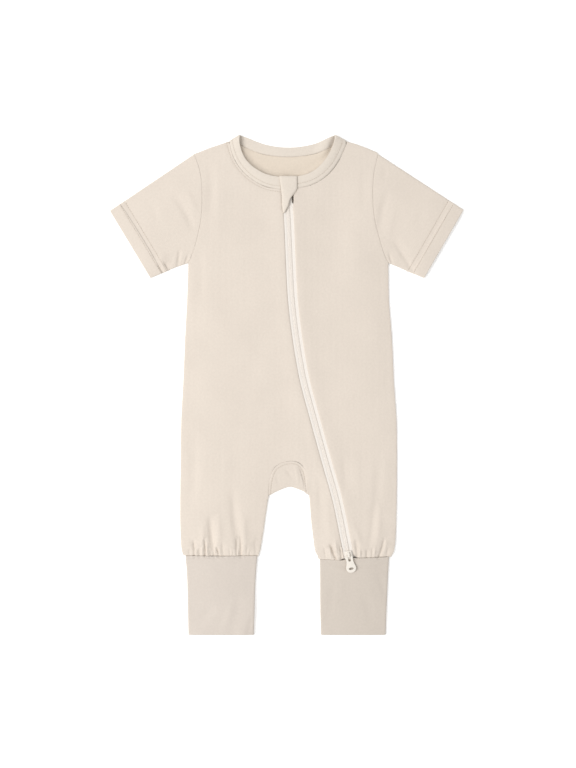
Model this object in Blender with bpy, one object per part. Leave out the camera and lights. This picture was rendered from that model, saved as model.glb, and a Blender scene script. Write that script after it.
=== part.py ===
"""Short-sleeve zip romper, laid flat: every cut piece, the zip, its slider and pull tab.

Frame: metres, +Z up from the table, +Y towards the neck, +X towards the wearer's left.
Origin: the middle of the garment's footprint, on the table.
The sizes and tables below are in millimetres in that frame; "right" and "left" are the
wearer's, so the right side lies at -X.
"""
import math
from collections import namedtuple

import bmesh
import bpy
import numpy as np
from mathutils import Matrix, Vector
from mathutils.geometry import delaunay_2d_cdt

MM = 0.001

# Cloth and clearances
JERSEY = 1.0               # wall of a jersey panel
INTERLOCK = 1.4            # wall of a doubled cuff
BAND = 1.6                 # folded neckband
FLAP = 1.8                 # folded zip garage
HEM_EXTRA = 0.5            # how much a turned sleeve hem thickens the wall
HEM_DEPTH = 13.8           # sleeve hem, edge to stitching
SEAM = 0.3                 # gap between two pieces
HALF_SEAM = 0.5 * SEAM

# How the front lies over the back
LOFT = 2.4                 # how far the front rises above the back, away from folded edges
LOFT_REACH = 32.0          # distance from a folded edge at which it has risen fully
OPEN_EDGE_START = 10.0     # an open hem or neckline lies as if this far from a fold
NECK_RISE = 0.7            # further rise of the front along its neckline
NECK_RISE_REACH = 34.0
PUFF = 1.1                 # gathered leg cloth standing over the cuff seam
PUFF_REACH = 7.0           # distance above the seam where it stands highest
PUFF_FADE = 42.0           # further distance in which it settles
CREASE_END_FADE = 6.0      # a crease runs out over this length past its ends

# Zip
CHAIN_WIDTH = 3.6
CHAIN_HEIGHT = 1.6
CHAIN_DROP = 0.1           # the chain's underside below the tapes'
ZIP_VISIBLE = 10.7         # between the two turned panel edges
TAPE_WALL = 1.0
TAPE_REACH = 7.2           # from the zip's middle to a tape's hidden edge
TAPE_REACH_AT_NECK = 5.2   # narrower between the ends of the neckband
TAPE_NARROW_ABOVE = 211.0
TAPE_NARROWING = 4.0
ZIP_LIFT = TAPE_WALL + SEAM
ZIP_LIFT_FLAT = 1.0        # the panel stays lifted this far past the tape's hidden edge
ZIP_LIFT_FADE = 9.0
CALM_BESIDE_ZIP = 2.0      # no crease reaches nearer the lifted edge than this
ZIP_TOP = 222.0
ZIP_BOTTOM = -189.3

# Mesh spacing
EDGE_STEP = 7.0
EDGE_LONGEST = 15.0
EDGE_TOLERANCE = 0.06
GATHER_STEP = 1.9
GRID_STEP = 11.0
BACK_GRID_STEP = 40.0


def table(columns, *rows):
    """Return the rows of a small table, with the columns reachable by name."""
    row_type = namedtuple("Row", columns)
    return [row_type(*row) for row in rows]


# Outer edges of body and legs, from the underarm down to the cuff seam
SIDE = table(
    "y right left",
    (132.6, -107.3, 110.7),
    (92.0, -108.6, 111.4),
    (53.0, -110.7, 114.5),
    (0.0, -112.9, 117.0),
    (-38.0, -115.0, 119.6),
    (-78.0, -115.6, 120.1),
    (-147.0, -116.2, 119.4),
    (-170.0, -115.4, 118.4),
    (-181.5, -114.2, 116.8),
    (-188.0, -111.4, 113.4),
)

# Inner edges of the legs, from the gusset down to the cuff seam
INSEAM = table(
    "y right left",
    (-121.1, -19.4, 24.4),
    (-127.0, -20.7, 25.0),
    (-147.3, -23.6, 26.5),
    (-169.1, -26.9, 29.2),
    (-182.1, -29.3, 31.2),
    (-188.0, -31.6, 34.6),
)

# Crotch fold, from the right leg to the left leg
CROTCH = table(
    "x y",
    (-19.4, -121.1),
    (-11.7, -116.8),
    (-0.8, -112.4),
    (3.6, -111.3),
    (8.5, -112.6),
    (18.8, -116.8),
    (24.4, -121.1),
)

# Seam of the gusset's front half, from the right leg up and over to the left leg
GUSSET_SEAM = table(
    "x y",
    (-20.2, -119.0),
    (-18.6, -104.0),
    (-13.4, -90.5),
    (-4.7, -85.0),
    (5.1, -83.0),
    (14.5, -85.4),
    (20.3, -94.0),
    (22.4, -105.0),
    (24.0, -118.0),
)

# Shoulder line, from the neckband to the sleeve
SHOULDER = table(
    "y right left",
    (264.9, -62.9, 65.7),
    (262.2, -71.5, 75.5),
    (257.8, -84.6, 87.4),
    (253.5, -95.5, 97.6),
)

# Armhole seams, from the shoulder down to the underarm
ARMHOLE = table(
    "y right left",
    (251.3, -101.0, 99.6),
    (238.0, -95.8, 96.2),
    (221.5, -92.8, 94.1),
    (200.0, -92.2, 93.9),
    (180.0, -93.4, 95.8),
    (158.0, -98.0, 101.3),
    (140.0, -103.8, 106.9),
    (132.6, -107.3, 110.7),
)

# Sleeve corners, and the lower edge from the hem to the underarm
SLEEVE = table(
    "place right_x right_y left_x left_y",
    ("top", -101.0, 251.3, 99.6, 253.0),
    ("hem_top", -192.75, 189.6, 192.75, 190.6),
    ("hem_bottom", -148.4, 116.0, 149.6, 116.0),
    ("lower_edge", -132.5, 122.8, 133.2, 122.8),
    ("lower_edge", -122.7, 127.3, 123.4, 127.3),
    ("underarm", -107.3, 132.6, 110.7, 132.6),
)
SLEEVE_STATIONS = (1.0, 0.8, 0.62, 0.45, 0.3, 0.15, 0.02)  # from the hem's stitching up
HEM_STATIONS = (1.0, 0.5, 0.0)                             # from its stitching to its edge

# Leg cuffs: their edges from the seam down to the hem
CUFF = table(
    "y right_outer right_inner left_inner left_outer",
    (-188.6, -110.4, -32.2, 36.0, 111.6),
    (-206.0, -108.9, -33.5, 36.3, 110.6),
    (-227.0, -108.2, -34.5, 36.3, 109.6),
    (-250.0, -107.7, -35.0, 36.6, 108.6),
    (-272.5, -107.2, -35.6, 37.2, 108.0),
)
CUFF_SEAM_SAG = table(
    "side sag fade",           # how far the seam dips at mid leg, and the share of the
    ("right", 0.4, 0.3),       # cuff in which its rows come level again
    ("left", 1.2, 0.3),
)
CUFF_STATIONS = (0.06, 0.16, 0.3, 0.45, 0.6, 0.75, 0.9, 1.0)

# Neckband stations, from the zip over the shoulder to the back: inner and outer edge.
# turn is the angle of the band's outer face: 0 up in front, 90 at a fold, 180 down behind.
NECK = table(
    "inner_x inner_y outer_x outer_y turn",
    (-5.8, 226.2, -5.8, 212.6, 0),
    (-18.2, 227.6, -21.2, 215.0, 0),
    (-26.4, 230.8, -31.8, 219.9, 0),
    (-34.5, 235.6, -41.0, 226.0, 0),
    (-41.4, 241.2, -49.0, 233.8, 0),
    (-46.9, 248.6, -55.9, 243.6, 0),
    (-50.6, 259.0, -60.6, 255.6, 0),
    (-51.6, 266.4, -62.0, 262.2, 0),
    (-51.4, 272.9, -62.2, 266.2, 90),
    (-47.6, 270.9, -57.6, 264.2, 180),
    (-42.6, 269.2, -50.0, 260.6, 180),
    (-36.2, 266.3, -41.6, 256.6, 180),
    (-25.4, 262.1, -28.4, 251.6, 180),
    (-12.0, 259.3, -13.4, 248.9, 180),
    (1.4, 258.4, 1.4, 248.0, 180),
    (15.2, 259.3, 16.6, 248.9, 180),
    (29.6, 262.1, 32.8, 251.8, 180),
    (39.6, 266.3, 45.4, 256.8, 180),
    (45.0, 269.2, 53.2, 260.9, 180),
    (49.2, 270.9, 60.0, 264.4, 180),
    (52.2, 272.9, 64.8, 266.2, 90),
    (52.4, 267.4, 65.0, 262.0, 0),
    (49.9, 259.6, 62.4, 255.8, 0),
    (44.4, 248.2, 55.8, 242.0, 0),
    (36.6, 238.4, 46.6, 230.2, 0),
    (29.6, 232.9, 37.4, 222.8, 0),
    (22.0, 229.0, 27.6, 217.6, 0),
    (13.4, 227.0, 16.2, 214.6, 0),
    (6.0, 226.4, 6.0, 213.2, 0),
)
BAND_FOLD_ANGLES = (30, 60, 90, 120, 150)
BAND_CORNER = 2.2          # the back panel's corner lies this far below the band's fold

# Middle of the zip, from the neck to the cuff of the left leg
ZIP = table(
    "x y",
    (-0.4, 226.0),
    (0.6, 201.0),
    (2.3, 179.4),
    (4.2, 135.8),
    (6.6, 92.3),
    (11.8, 48.7),
    (19.5, 5.1),
    (31.0, -38.4),
    (42.9, -82.0),
    (55.1, -125.5),
    (64.1, -169.1),
    (66.9, -183.2),
    (68.2, -190.0),
)

# Zip garage: the folded flap over the zip's top end. lift is how far its edge stands up.
GARAGE = table(
    "x y lift",
    (-8.2, 227.0, 0.0),
    (11.5, 227.0, 0.6),
    (11.6, 213.4, 1.3),
    (8.2, 206.8, 1.5),
    (1.6, 194.2, 0.9),
    (-2.6, 186.4, 0.0),
    (-4.2, 187.2, 0.0),
    (-5.2, 196.0, 0.0),
    (-5.6, 206.6, 0.0),
    (-6.8, 217.0, 0.0),
)
GARAGE_STEP = 4.5

# Creases that show as relief: a soft trough (height < 0) or ridge from (x1, y1) to (x2, y2).
# start and end are the shares of the height that are left at its two ends.
GATHERS = table(
    "x1 y1 x2 y2 half_width height start end",
    (-103.0, -172.0, -103.0, -189.0, 2.4, -0.8, 0.0, 0.9),
    (-96.0, -174.5, -95.8, -189.0, 2.0, -0.7, 0.0, 0.9),
    (-90.2, -170.0, -90.0, -189.0, 2.3, -1.0, 0.0, 1.0),
    (-86.2, -139.0, -81.0, -189.0, 4.2, -1.9, 0.0, 0.7),
    (-78.4, -174.0, -75.4, -189.0, 2.1, -0.9, 0.0, 1.0),
    (-70.8, -171.0, -68.4, -189.0, 2.2, -0.8, 0.0, 0.9),
    (-62.8, -116.0, -51.0, -189.0, 4.6, -1.5, 0.0, 0.7),
    (-46.8, -172.0, -46.0, -189.0, 2.3, -0.8, 0.0, 0.9),
    (-39.6, -176.0, -41.0, -189.0, 2.0, -0.7, 0.0, 0.8),
    (40.6, -176.0, 42.0, -190.0, 2.0, -0.7, 0.0, 0.8),
    (48.2, -172.0, 53.4, -190.0, 2.6, -1.3, 0.0, 1.0),
    (57.0, -168.0, 58.6, -190.0, 2.4, -1.3, 0.0, 1.0),
    (78.4, -166.0, 78.0, -190.0, 3.0, -1.3, 0.0, 1.0),
    (95.4, -132.0, 86.6, -190.0, 3.6, -0.9, 0.0, 1.0),
    (104.4, -166.0, 99.8, -190.0, 2.6, -1.0, 0.0, 0.9),
    (108.6, -176.0, 107.0, -190.0, 2.0, -0.5, 0.0, 0.8),
)
FOLDS = table(
    "x1 y1 x2 y2 half_width height start end",
    (-95.5, 150.0, -94.4, 92.0, 7.0, -0.6, 0.0, 0.0),
    (-83.5, 240.0, -84.6, 186.0, 8.0, -0.6, 0.0, 0.0),
    (-124.0, 206.0, -102.0, 170.0, 6.0, -0.8, 0.0, 0.1),
    (-128.0, 133.0, -138.0, 121.0, 3.2, -0.8, 0.1, 0.6),
    (112.0, 212.0, 101.0, 167.0, 6.0, -0.7, 0.0, 0.1),
    (115.0, 158.0, 138.0, 122.0, 5.0, -0.9, 0.0, 0.7),
    (34.5, 220.0, 34.0, 130.0, 13.0, -0.6, 0.0, 0.0),
    (61.0, -84.0, 63.4, -116.0, 6.0, -0.6, 0.0, 0.0),
    (-101.0, -66.0, -104.2, -120.0, 7.0, -0.6, 0.0, 0.0),
    (98.9, -82.0, 96.4, -140.0, 6.0, -0.6, 0.0, 0.0),
    (34.6, -118.0, 38.0, -166.0, 4.5, -0.5, 0.0, 0.0),
    (-40.0, -226.0, -68.0, -271.0, 9.0, 0.6, 0.0, 0.7),
    (-78.0, -238.0, -100.0, -262.0, 9.0, -0.5, 0.0, 0.0),
    (48.0, -195.0, 106.0, -198.0, 4.5, -0.5, 0.0, 0.2),
)

# How the points of a gusset section join into faces at its two ends
GUSSET_CAP = (
    (0, 1, 16, 17), (1, 2, 15, 16), (2, 3, 14, 15),
    (3, 4, 14), (4, 5, 14), (5, 6, 14), (6, 7, 14),
    (7, 8, 13, 14), (8, 9, 12, 13), (9, 10, 11, 12),
)

# How a flattened tube turns at its folded edge: distance in from the edge, share of height
TUBE_EDGE = table(
    "distance height",
    (1.1, 0.0),
    (0.3, 0.16),
    (0.0, 0.5),
    (0.3, 0.84),
    (1.1, 1.0),
)
TUBE_EDGE_DEPTH = 1.1

# Section of the closed zip chain, as shares of its width and height
CHAIN_SECTION = table(
    "across height",
    (-0.5, 0.3),
    (-0.28, 0.0),
    (0.28, 0.0),
    (0.5, 0.3),
    (0.5, 0.62),
    (0.24, 1.0),
    (-0.24, 1.0),
    (-0.5, 0.62),
)

# Slider, in its own frame: w runs across it, s down the zip, heights from its upper plate
SLIDER_Y = -185.2          # where its middle sits on the garment
PLATE = 1.0
SLIDER_PLAN = table(
    "s half_width",
    (-4.4, 2.8),
    (-3.6, 3.5),
    (0.0, 3.9),
    (2.4, 4.5),
    (3.6, 4.3),
    (4.4, 3.2),
)
POST_HALF_WIDTH = 1.0
POST_START = 1.2
POST_END = 3.4
FLANGE_DROP = 0.5
FLANGE_WIDTH = 0.9
OVERLAP = 0.02             # shapes that are joined run this far into each other
BRIDGE_HALF_WIDTH = 1.0
BRIDGE_PROFILE = table(
    "s height",
    (-3.6, -0.4),
    (-3.4, 1.5),
    (-2.4, 2.5),
    (0.0, 2.8),
    (2.0, 2.6),
    (2.9, 1.6),
    (3.0, -0.4),
    (2.1, -0.4),
    (2.1, 1.3),
    (1.5, 1.8),
    (-1.8, 1.8),
    (-2.5, 1.1),
    (-2.5, -0.4),
)

# Pull tab: w runs across it, r from its hinge to its tip
TAB_HINGE_S = 1.25         # along the slider
TAB_HINGE_HEIGHT = 1.0     # above the slider's upper plate
TAB_TILT = 4.0             # degrees below level at rest, lying on the cuff
TAB_WALL = 1.2
TAB_BAR_RADIUS = 0.42
TAB_NOSE = 0.3             # where the arms' rounded ends begin
TAB_PLAN = table(
    "r half_width",
    (0.0, 3.4),
    (0.8, 3.8),
    (5.8, 3.7),
    (9.0, 4.3),
    (11.4, 5.2),
    (13.4, 5.5),
    (15.4, 5.0),
    (17.0, 3.6),
    (17.9, 1.9),
    (18.2, 0.0),
)
TAB_SLOT_HALF_WIDTH = 1.35
TAB_SLOT_END = 5.7
TAB_SLOT_CORNER = 0.6
TAB_HOLE_R = 13.8
TAB_HOLE_HALF_LENGTH = 1.35
TAB_HOLE_HALF_WIDTH = 2.7

COLOURS = table(
    "node red green blue roughness metallic",
    ("back_panel", 0.82, 0.74, 0.63, 0.9, 0.0),
    ("front_right_panel", 0.85, 0.76, 0.67, 0.9, 0.0),
    ("front_left_panel", 0.82, 0.73, 0.63, 0.9, 0.0),
    ("gusset", 0.82, 0.74, 0.64, 0.9, 0.0),
    ("sleeve_right", 0.84, 0.75, 0.65, 0.9, 0.0),
    ("sleeve_left", 0.80, 0.71, 0.62, 0.9, 0.0),
    ("neckband", 0.83, 0.74, 0.65, 0.9, 0.0),
    ("cuff_right", 0.77, 0.70, 0.62, 0.92, 0.0),
    ("cuff_left", 0.70, 0.63, 0.55, 0.92, 0.0),
    ("zip_garage", 0.80, 0.74, 0.66, 0.9, 0.0),
    ("zip_tape_right", 0.90, 0.84, 0.77, 0.7, 0.0),
    ("zip_tape_left", 0.90, 0.84, 0.77, 0.7, 0.0),
    ("zip_chain", 0.87, 0.81, 0.73, 0.4, 0.0),
    ("zip_slider", 0.83, 0.78, 0.70, 0.35, 0.3),
    ("zip_pull_tab", 0.86, 0.81, 0.73, 0.35, 0.3),
)


# ---------------------------------------------------------------- plan curves

def path_length(path):
    """Return the distance along a path at each of its points."""
    steps = np.linalg.norm(np.diff(path, axis=0), axis=1)
    return np.concatenate([[0.0], np.cumsum(steps)])


def resample(points, step):
    """Return points spread evenly along a plan path, about step apart."""
    path = np.array(points, dtype=float)
    length = path_length(path)
    count = max(int(round(length[-1] / step)), 1)
    at = np.linspace(0, length[-1], count + 1)
    return np.column_stack([np.interp(at, length, path[:, k]) for k in (0, 1)])


def smooth_curve(points, step):
    """Return a smooth curve through plan points, resampled about every step."""
    control = np.array(points, dtype=float)
    control = np.vstack([2 * control[0] - control[1], control, 2 * control[-1] - control[-2]])
    fine = [control[1]]
    for p0, p1, p2, p3 in zip(control, control[1:], control[2:], control[3:]):
        k0, k1, k2 = (np.linalg.norm(b - a) ** 0.5 for a, b in ((p0, p1), (p1, p2), (p2, p3)))
        m1 = k1 * ((p1 - p0) / k0 - (p2 - p0) / (k0 + k1)) + (p2 - p1)
        m2 = k1 * ((p3 - p2) / k2 - (p3 - p1) / (k1 + k2)) + (p2 - p1)
        for t in np.linspace(0, 1, 25)[1:]:
            fine.append((2 * t ** 3 - 3 * t ** 2 + 1) * p1 + (t ** 3 - 2 * t ** 2 + t) * m1
                        + (3 * t ** 2 - 2 * t ** 3) * p2 + (t ** 3 - t ** 2) * m2)
    return resample(fine, step)


def shifted(points, distance):
    """Return an open plan path moved sideways, to its left for a positive distance."""
    path = np.array(points, dtype=float)
    along = np.gradient(path, axis=0)
    along /= np.linalg.norm(along, axis=1)[:, None]
    return path + distance * np.column_stack([-along[:, 1], along[:, 0]])


def thinned(points):
    """Return a path without the points that its shape doesn't need."""
    path = [tuple(point) for point in points]
    start, end = np.array(path[0]), np.array(path[-1])
    span = end - start
    length = np.linalg.norm(span)
    if len(path) < 3:
        return path
    rel = np.array(path[1:-1]) - start
    off = np.abs(rel[:, 0] * span[1] - rel[:, 1] * span[0]) / max(length, 1e-6)
    if off.max() < EDGE_TOLERANCE and length < EDGE_LONGEST:
        return [path[0], path[-1]]
    middle = len(path) // 2 if off.max() < EDGE_TOLERANCE else int(off.argmax()) + 1
    return thinned(path[:middle + 1])[:-1] + thinned(path[middle:])


def joined(*paths):
    """Join plan paths end to end into a closed outline, leaving out repeated points."""
    points = []
    for path in paths:
        for point in path:
            if not points or math.dist(points[-1], point) > 0.2:
                points.append(tuple(point))
    if math.dist(points[0], points[-1]) < 0.2:
        points.pop()
    return points


def column_points(rows, x_name, y_name="y"):
    """Return two named columns of a table as plan points."""
    return [(getattr(row, x_name), getattr(row, y_name)) for row in rows]


def sleeve_corner(side, place):
    """Return one named corner of a sleeve."""
    row = next(row for row in SLEEVE if row.place == place)
    return getattr(row, side + "_x"), getattr(row, side + "_y")


def sleeve_lower_edge(side):
    """Return a sleeve's lower edge from the underarm to the hem."""
    rows = [row for row in SLEEVE if row.place in ("hem_bottom", "lower_edge", "underarm")]
    points = column_points(rows, side + "_x", side + "_y")
    return smooth_curve(points[::-1], EDGE_STEP)


def cuff_seam(side):
    """Return the seam between a leg and its cuff, from the outer to the inner edge."""
    outer = getattr(CUFF[0], side + "_outer")
    inner = getattr(CUFF[0], side + "_inner")
    across = np.linspace(0, 1, int(abs(outer - inner) / GATHER_STEP) + 1)
    sag = next(row.sag for row in CUFF_SEAM_SAG if row.side == side)
    y = CUFF[0].y - sag * np.sin(math.pi * across)
    return np.column_stack([outer + (inner - outer) * across, y])


def neck_rows(turn, side=None):
    """Return the neckband stations with one turn, on one side or on both."""
    rows = [row for row in NECK if row.turn == turn]
    if side == "right":
        rows = [row for row in rows if row.outer_x < 0]
    if side == "left":
        rows = [row for row in rows if row.outer_x > 0]
    return rows


ZIP_PATH = smooth_curve(column_points(ZIP, "x"), EDGE_STEP)
FINE_ZIP_PATH = smooth_curve(column_points(ZIP, "x"), 0.5)


# ---------------------------------------------------------------- how high the cloth lies

def segments(path):
    """Return the start and end points of a path's segments."""
    path = np.array(path, dtype=float)
    return np.hstack([path[:-1], path[1:]])


def distance_to(segs, points):
    """Return each point's distance to the nearest segment."""
    start, span = segs[:, :2], segs[:, 2:] - segs[:, :2]
    length2 = np.maximum((span ** 2).sum(axis=1), 1e-9)
    rel = points[:, None, :] - start[None, :, :]
    share = np.clip((rel * span[None, :, :]).sum(axis=2) / length2, 0, 1)
    nearest = rel - share[:, :, None] * span[None, :, :]
    return np.sqrt((nearest ** 2).sum(axis=2)).min(axis=1)


def folded_edges():
    """Return the edges where front and back meet: shoulders, sleeves, sides, legs, crotch."""
    paths = [column_points(CROTCH, "x")]
    for side in ("right", "left"):
        fold = neck_rows(90, side)[0]
        shoulder = [(fold.inner_x, fold.inner_y)] + column_points(SHOULDER, side)
        paths.append(shoulder + [sleeve_corner(side, "top"), sleeve_corner(side, "hem_top")])
        paths.append(list(sleeve_lower_edge(side)))
        paths.append(column_points(SIDE, side) + column_points(CUFF, side + "_outer"))
        paths.append(column_points(INSEAM, side) + column_points(CUFF, side + "_inner"))
    return np.vstack([segments(path) for path in paths])


def open_edges():
    """Return the edges that stay open: sleeve hems, cuff hems and the back neckline."""
    paths = [column_points(neck_rows(180), "inner_x", "inner_y")]
    for side in ("right", "left"):
        paths.append([sleeve_corner(side, "hem_top"), sleeve_corner(side, "hem_bottom")])
        hem = CUFF[-1]
        paths.append([(getattr(hem, side + "_outer"), hem.y), (getattr(hem, side + "_inner"), hem.y)])
    return np.vstack([segments(path) for path in paths])


FOLDED = folded_edges()
OPEN = open_edges()
ZIP_LINE = segments(ZIP_PATH)
NECKLINE = np.vstack([segments(column_points(neck_rows(0, side), "inner_x", "inner_y"))
                      for side in ("right", "left")])


def loft(points):
    """Return how far the front lies above its lowest level, at plan points."""
    points = np.array(points, dtype=float)
    reach = np.minimum(distance_to(FOLDED, points), distance_to(OPEN, points) + OPEN_EDGE_START)
    rise = np.sin(0.5 * math.pi * np.clip(reach / LOFT_REACH, 0, 1))
    near_neck = np.clip(1 - distance_to(NECKLINE, points) / NECK_RISE_REACH, 0, 1)
    return rise * (LOFT + NECK_RISE * near_neck ** 2 * (3 - 2 * near_neck))


def crease_relief(rows, points):
    """Return the summed height of a table of creases at plan points."""
    relief = np.zeros(len(points))
    for row in rows:
        start = np.array([row.x1, row.y1])
        span = np.array([row.x2, row.y2]) - start
        length = np.linalg.norm(span)
        along = (points - start) @ span / length ** 2
        across = np.abs((points - start) @ np.array([-span[1], span[0]])) / length
        share = np.clip(along, 0, 1)
        strength = np.maximum(row.start + (row.end - row.start) * share,
                              np.sin(math.pi * share) ** 0.8)
        past_end = np.maximum(-along, along - 1) * length
        strength *= np.clip(1 - past_end / CREASE_END_FADE, 0, 1)
        hollow = 0.5 + 0.5 * np.cos(math.pi * np.clip(across / row.half_width, 0, 1))
        relief += row.height * strength * hollow
    return relief


def gather_puff(points):
    """Return how far gathered leg cloth stands up above the cuff seam."""
    above = points[:, 1] - CUFF[0].y
    rising = np.sin(0.5 * math.pi * np.clip(above / PUFF_REACH, 0, 1))
    settling = 0.5 + 0.5 * np.cos(math.pi * np.clip((above - PUFF_REACH) / PUFF_FADE, 0, 1))
    return PUFF * rising * settling


def front_under(points, wall=JERSEY):
    """Return the height of the front cloth's underside over a back of the given wall."""
    points = np.array(points, dtype=float)
    rise = loft(points)
    relief = crease_relief(FOLDS, points) + gather_puff(points)
    on_leg = points[:, 1] > CUFF[0].y - 2 * CUFF_SEAM_SAG[1].sag
    relief += crease_relief(GATHERS, points) * on_leg
    past_tape = distance_to(ZIP_LINE, points) - TAPE_REACH - ZIP_LIFT_FLAT
    calm = np.clip(past_tape / CALM_BESIDE_ZIP, 0, 1)
    relief *= np.clip(rise / (0.6 * LOFT), 0, 1) * np.where(on_leg, calm, 1)
    return wall + SEAM + np.maximum(rise + relief, 0)


def panel_under(points):
    """Return the height of a front panel's underside, lifted over the zip tapes."""
    past_tape = distance_to(ZIP_LINE, points) - TAPE_REACH - ZIP_LIFT_FLAT
    fade = np.clip(past_tape / ZIP_LIFT_FADE, 0, 1)
    return front_under(points) + ZIP_LIFT * (0.5 + 0.5 * np.cos(math.pi * fade))


def zip_level(points):
    """Return the height of the zip tapes' underside at plan points."""
    return JERSEY + SEAM + loft(points)


# ---------------------------------------------------------------- mesh builders

def make_material(name):
    """Return the material of one node, in its own colour."""
    row = next(row for row in COLOURS if row.node == name)
    material = bpy.data.materials.new(name)
    material.use_nodes = True
    shader = material.node_tree.nodes["Principled BSDF"]
    shader.inputs["Base Color"].default_value = (row.red, row.green, row.blue, 1.0)
    shader.inputs["Roughness"].default_value = row.roughness
    shader.inputs["Metallic"].default_value = row.metallic
    material.diffuse_color = (row.red, row.green, row.blue, 1.0)
    return material


def add_object(name, bm, parent):
    """Turn a closed bmesh in millimetres into a named object in metres."""
    bmesh.ops.recalc_face_normals(bm, faces=bm.faces)
    if bm.calc_volume(signed=True) < 0:
        bmesh.ops.reverse_faces(bm, faces=bm.faces)
    bmesh.ops.scale(bm, vec=Vector((MM, MM, MM)), verts=bm.verts)
    mesh = bpy.data.meshes.new(name)
    bm.to_mesh(mesh)
    bm.free()
    mesh.shade_smooth()
    mesh.set_sharp_from_angle(angle=math.radians(50))
    obj = bpy.data.objects.new(name, mesh)
    obj.data.materials.append(make_material(name))
    obj.parent = parent
    bpy.context.collection.objects.link(obj)
    return obj


def inside(polygon, points):
    """Return which plan points lie inside a closed polygon."""
    corners = np.array(polygon)
    x, y = points[:, 0], points[:, 1]
    result = np.zeros(len(points), dtype=bool)
    for (x1, y1), (x2, y2) in zip(corners, np.roll(corners, -1, axis=0)):
        if y1 != y2:
            crosses = (y1 > y) != (y2 > y)
            result ^= crosses & (x < (x2 - x1) * (y - y1) / (y2 - y1) + x1)
    return result


def crease_points(rows):
    """Return mesh points that follow each crease: its bottom line and both its shoulders."""
    points = []
    for row in rows:
        start = np.array([row.x1, row.y1])
        span = np.array([row.x2, row.y2]) - start
        length = np.linalg.norm(span)
        side = np.array([-span[1], span[0]]) / length
        for share in np.linspace(0, 1, max(int(length / 6.0), 3)):
            for across in (-1.0, -0.5, 0.0, 0.5, 1.0):
                points.append(start + share * span + across * row.half_width * side)
    return np.array(points)


def inner_points(outline, step, extra):
    """Return mesh points inside an outline: the extra ones first, then an even grid."""
    corners = np.array(outline)
    low, high = corners.min(axis=0), corners.max(axis=0)
    grid = []
    for row, y in enumerate(np.arange(low[1] + 0.6 * step, high[1], 0.866 * step)):
        shift = 0.5 * step * (1 + row % 2)
        grid.extend((x, y) for x in np.arange(low[0] + shift, high[0], step))
    rim = segments(np.vstack([corners, corners[:1]]))
    kept = []
    for candidates, clearance, spread in ((extra, 1.2, 1.6), (grid, 0.45 * step, 0.55 * step)):
        if len(candidates) == 0:
            continue
        candidates = np.array(candidates)
        candidates = candidates[inside(outline, candidates)]
        candidates = candidates[distance_to(rim, candidates) > clearance]
        for point in candidates:
            if all(math.dist(point, other) > spread for other in kept):
                kept.append(tuple(point))
    return kept


def cloth_panel(name, outline, under, wall, parent, step=GRID_STEP, extra=()):
    """Build a panel from its plan outline, the height of its underside, and its wall."""
    points = [Vector(point) for point in list(outline) + inner_points(outline, step, extra)]
    count = len(outline)
    ring = [(k, (k + 1) % count) for k in range(count)]
    flat, _, triangles, _, _, _ = delaunay_2d_cdt(points, ring, [list(range(count))], 1, 1e-5)
    plan = np.array([tuple(point) for point in flat])
    low = under(plan)
    bm = bmesh.new()
    bottom = [bm.verts.new((x, y, z)) for (x, y), z in zip(plan, low)]
    top = [bm.verts.new((x, y, z + wall)) for (x, y), z in zip(plan, low)]
    sides = set()
    for a, b, c in triangles:
        turn = np.cross(np.append(plan[b] - plan[a], 0), np.append(plan[c] - plan[a], 0))[2]
        if turn < 0:
            b, c = c, b
        bm.faces.new((top[a], top[b], top[c]))
        bm.faces.new((bottom[c], bottom[b], bottom[a]))
        sides.update(((a, b), (b, c), (c, a)))
    for a, b in sorted(sides):
        if (b, a) not in sides:
            bm.faces.new((top[b], top[a], bottom[a], bottom[b]))
    return add_object(name, bm, parent)


def split_large_faces(bm):
    """Split the faces with more than four corners into triangles."""
    bmesh.ops.triangulate(bm, faces=[face for face in bm.faces if len(face.verts) > 4])


def loft_rings(name, rings, parent, closed=False, cap=None):
    """Join equal rings of points in order, capping the ends unless they close up."""
    bm = bmesh.new()
    loops = [[bm.verts.new(point) for point in ring] for ring in rings]
    pairs = list(zip(loops, loops[1:]))
    if closed:
        pairs.append((loops[-1], loops[0]))
    else:
        for corners in cap or [range(len(rings[0]))]:
            bm.faces.new([loops[0][k] for k in corners][::-1])
            bm.faces.new([loops[-1][k] for k in corners])
    for near, far in pairs:
        for k, vert in enumerate(near):
            bm.faces.new((near[k - 1], vert, far[k], far[k - 1]))
    split_large_faces(bm)
    return add_object(name, bm, parent)


# ---------------------------------------------------------------- body panels

def armhole(side):
    """Return the body's side of an armhole seam, running down."""
    seam = smooth_curve(column_points(ARMHOLE, side), EDGE_STEP)
    return thinned(shifted(seam, HALF_SEAM if side == "right" else -HALF_SEAM))


def side_seam(side):
    """Return the outer edge of body and leg, running down."""
    return thinned(smooth_curve(column_points(SIDE, side), EDGE_STEP))


def inseam(side):
    """Return the inner edge of a leg, running down."""
    return thinned(smooth_curve(column_points(INSEAM, side), EDGE_STEP))


def gusset_notch():
    """Return the panels' edge round the gusset, from the right leg to the left leg."""
    return shifted(smooth_curve(column_points(GUSSET_SEAM, "x"), 4.5), SEAM)


def leg_end(side):
    """Return the leg's edge along the cuff seam, from the outer to the inner edge."""
    return cuff_seam(side) + np.array([0.0, HALF_SEAM])


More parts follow.
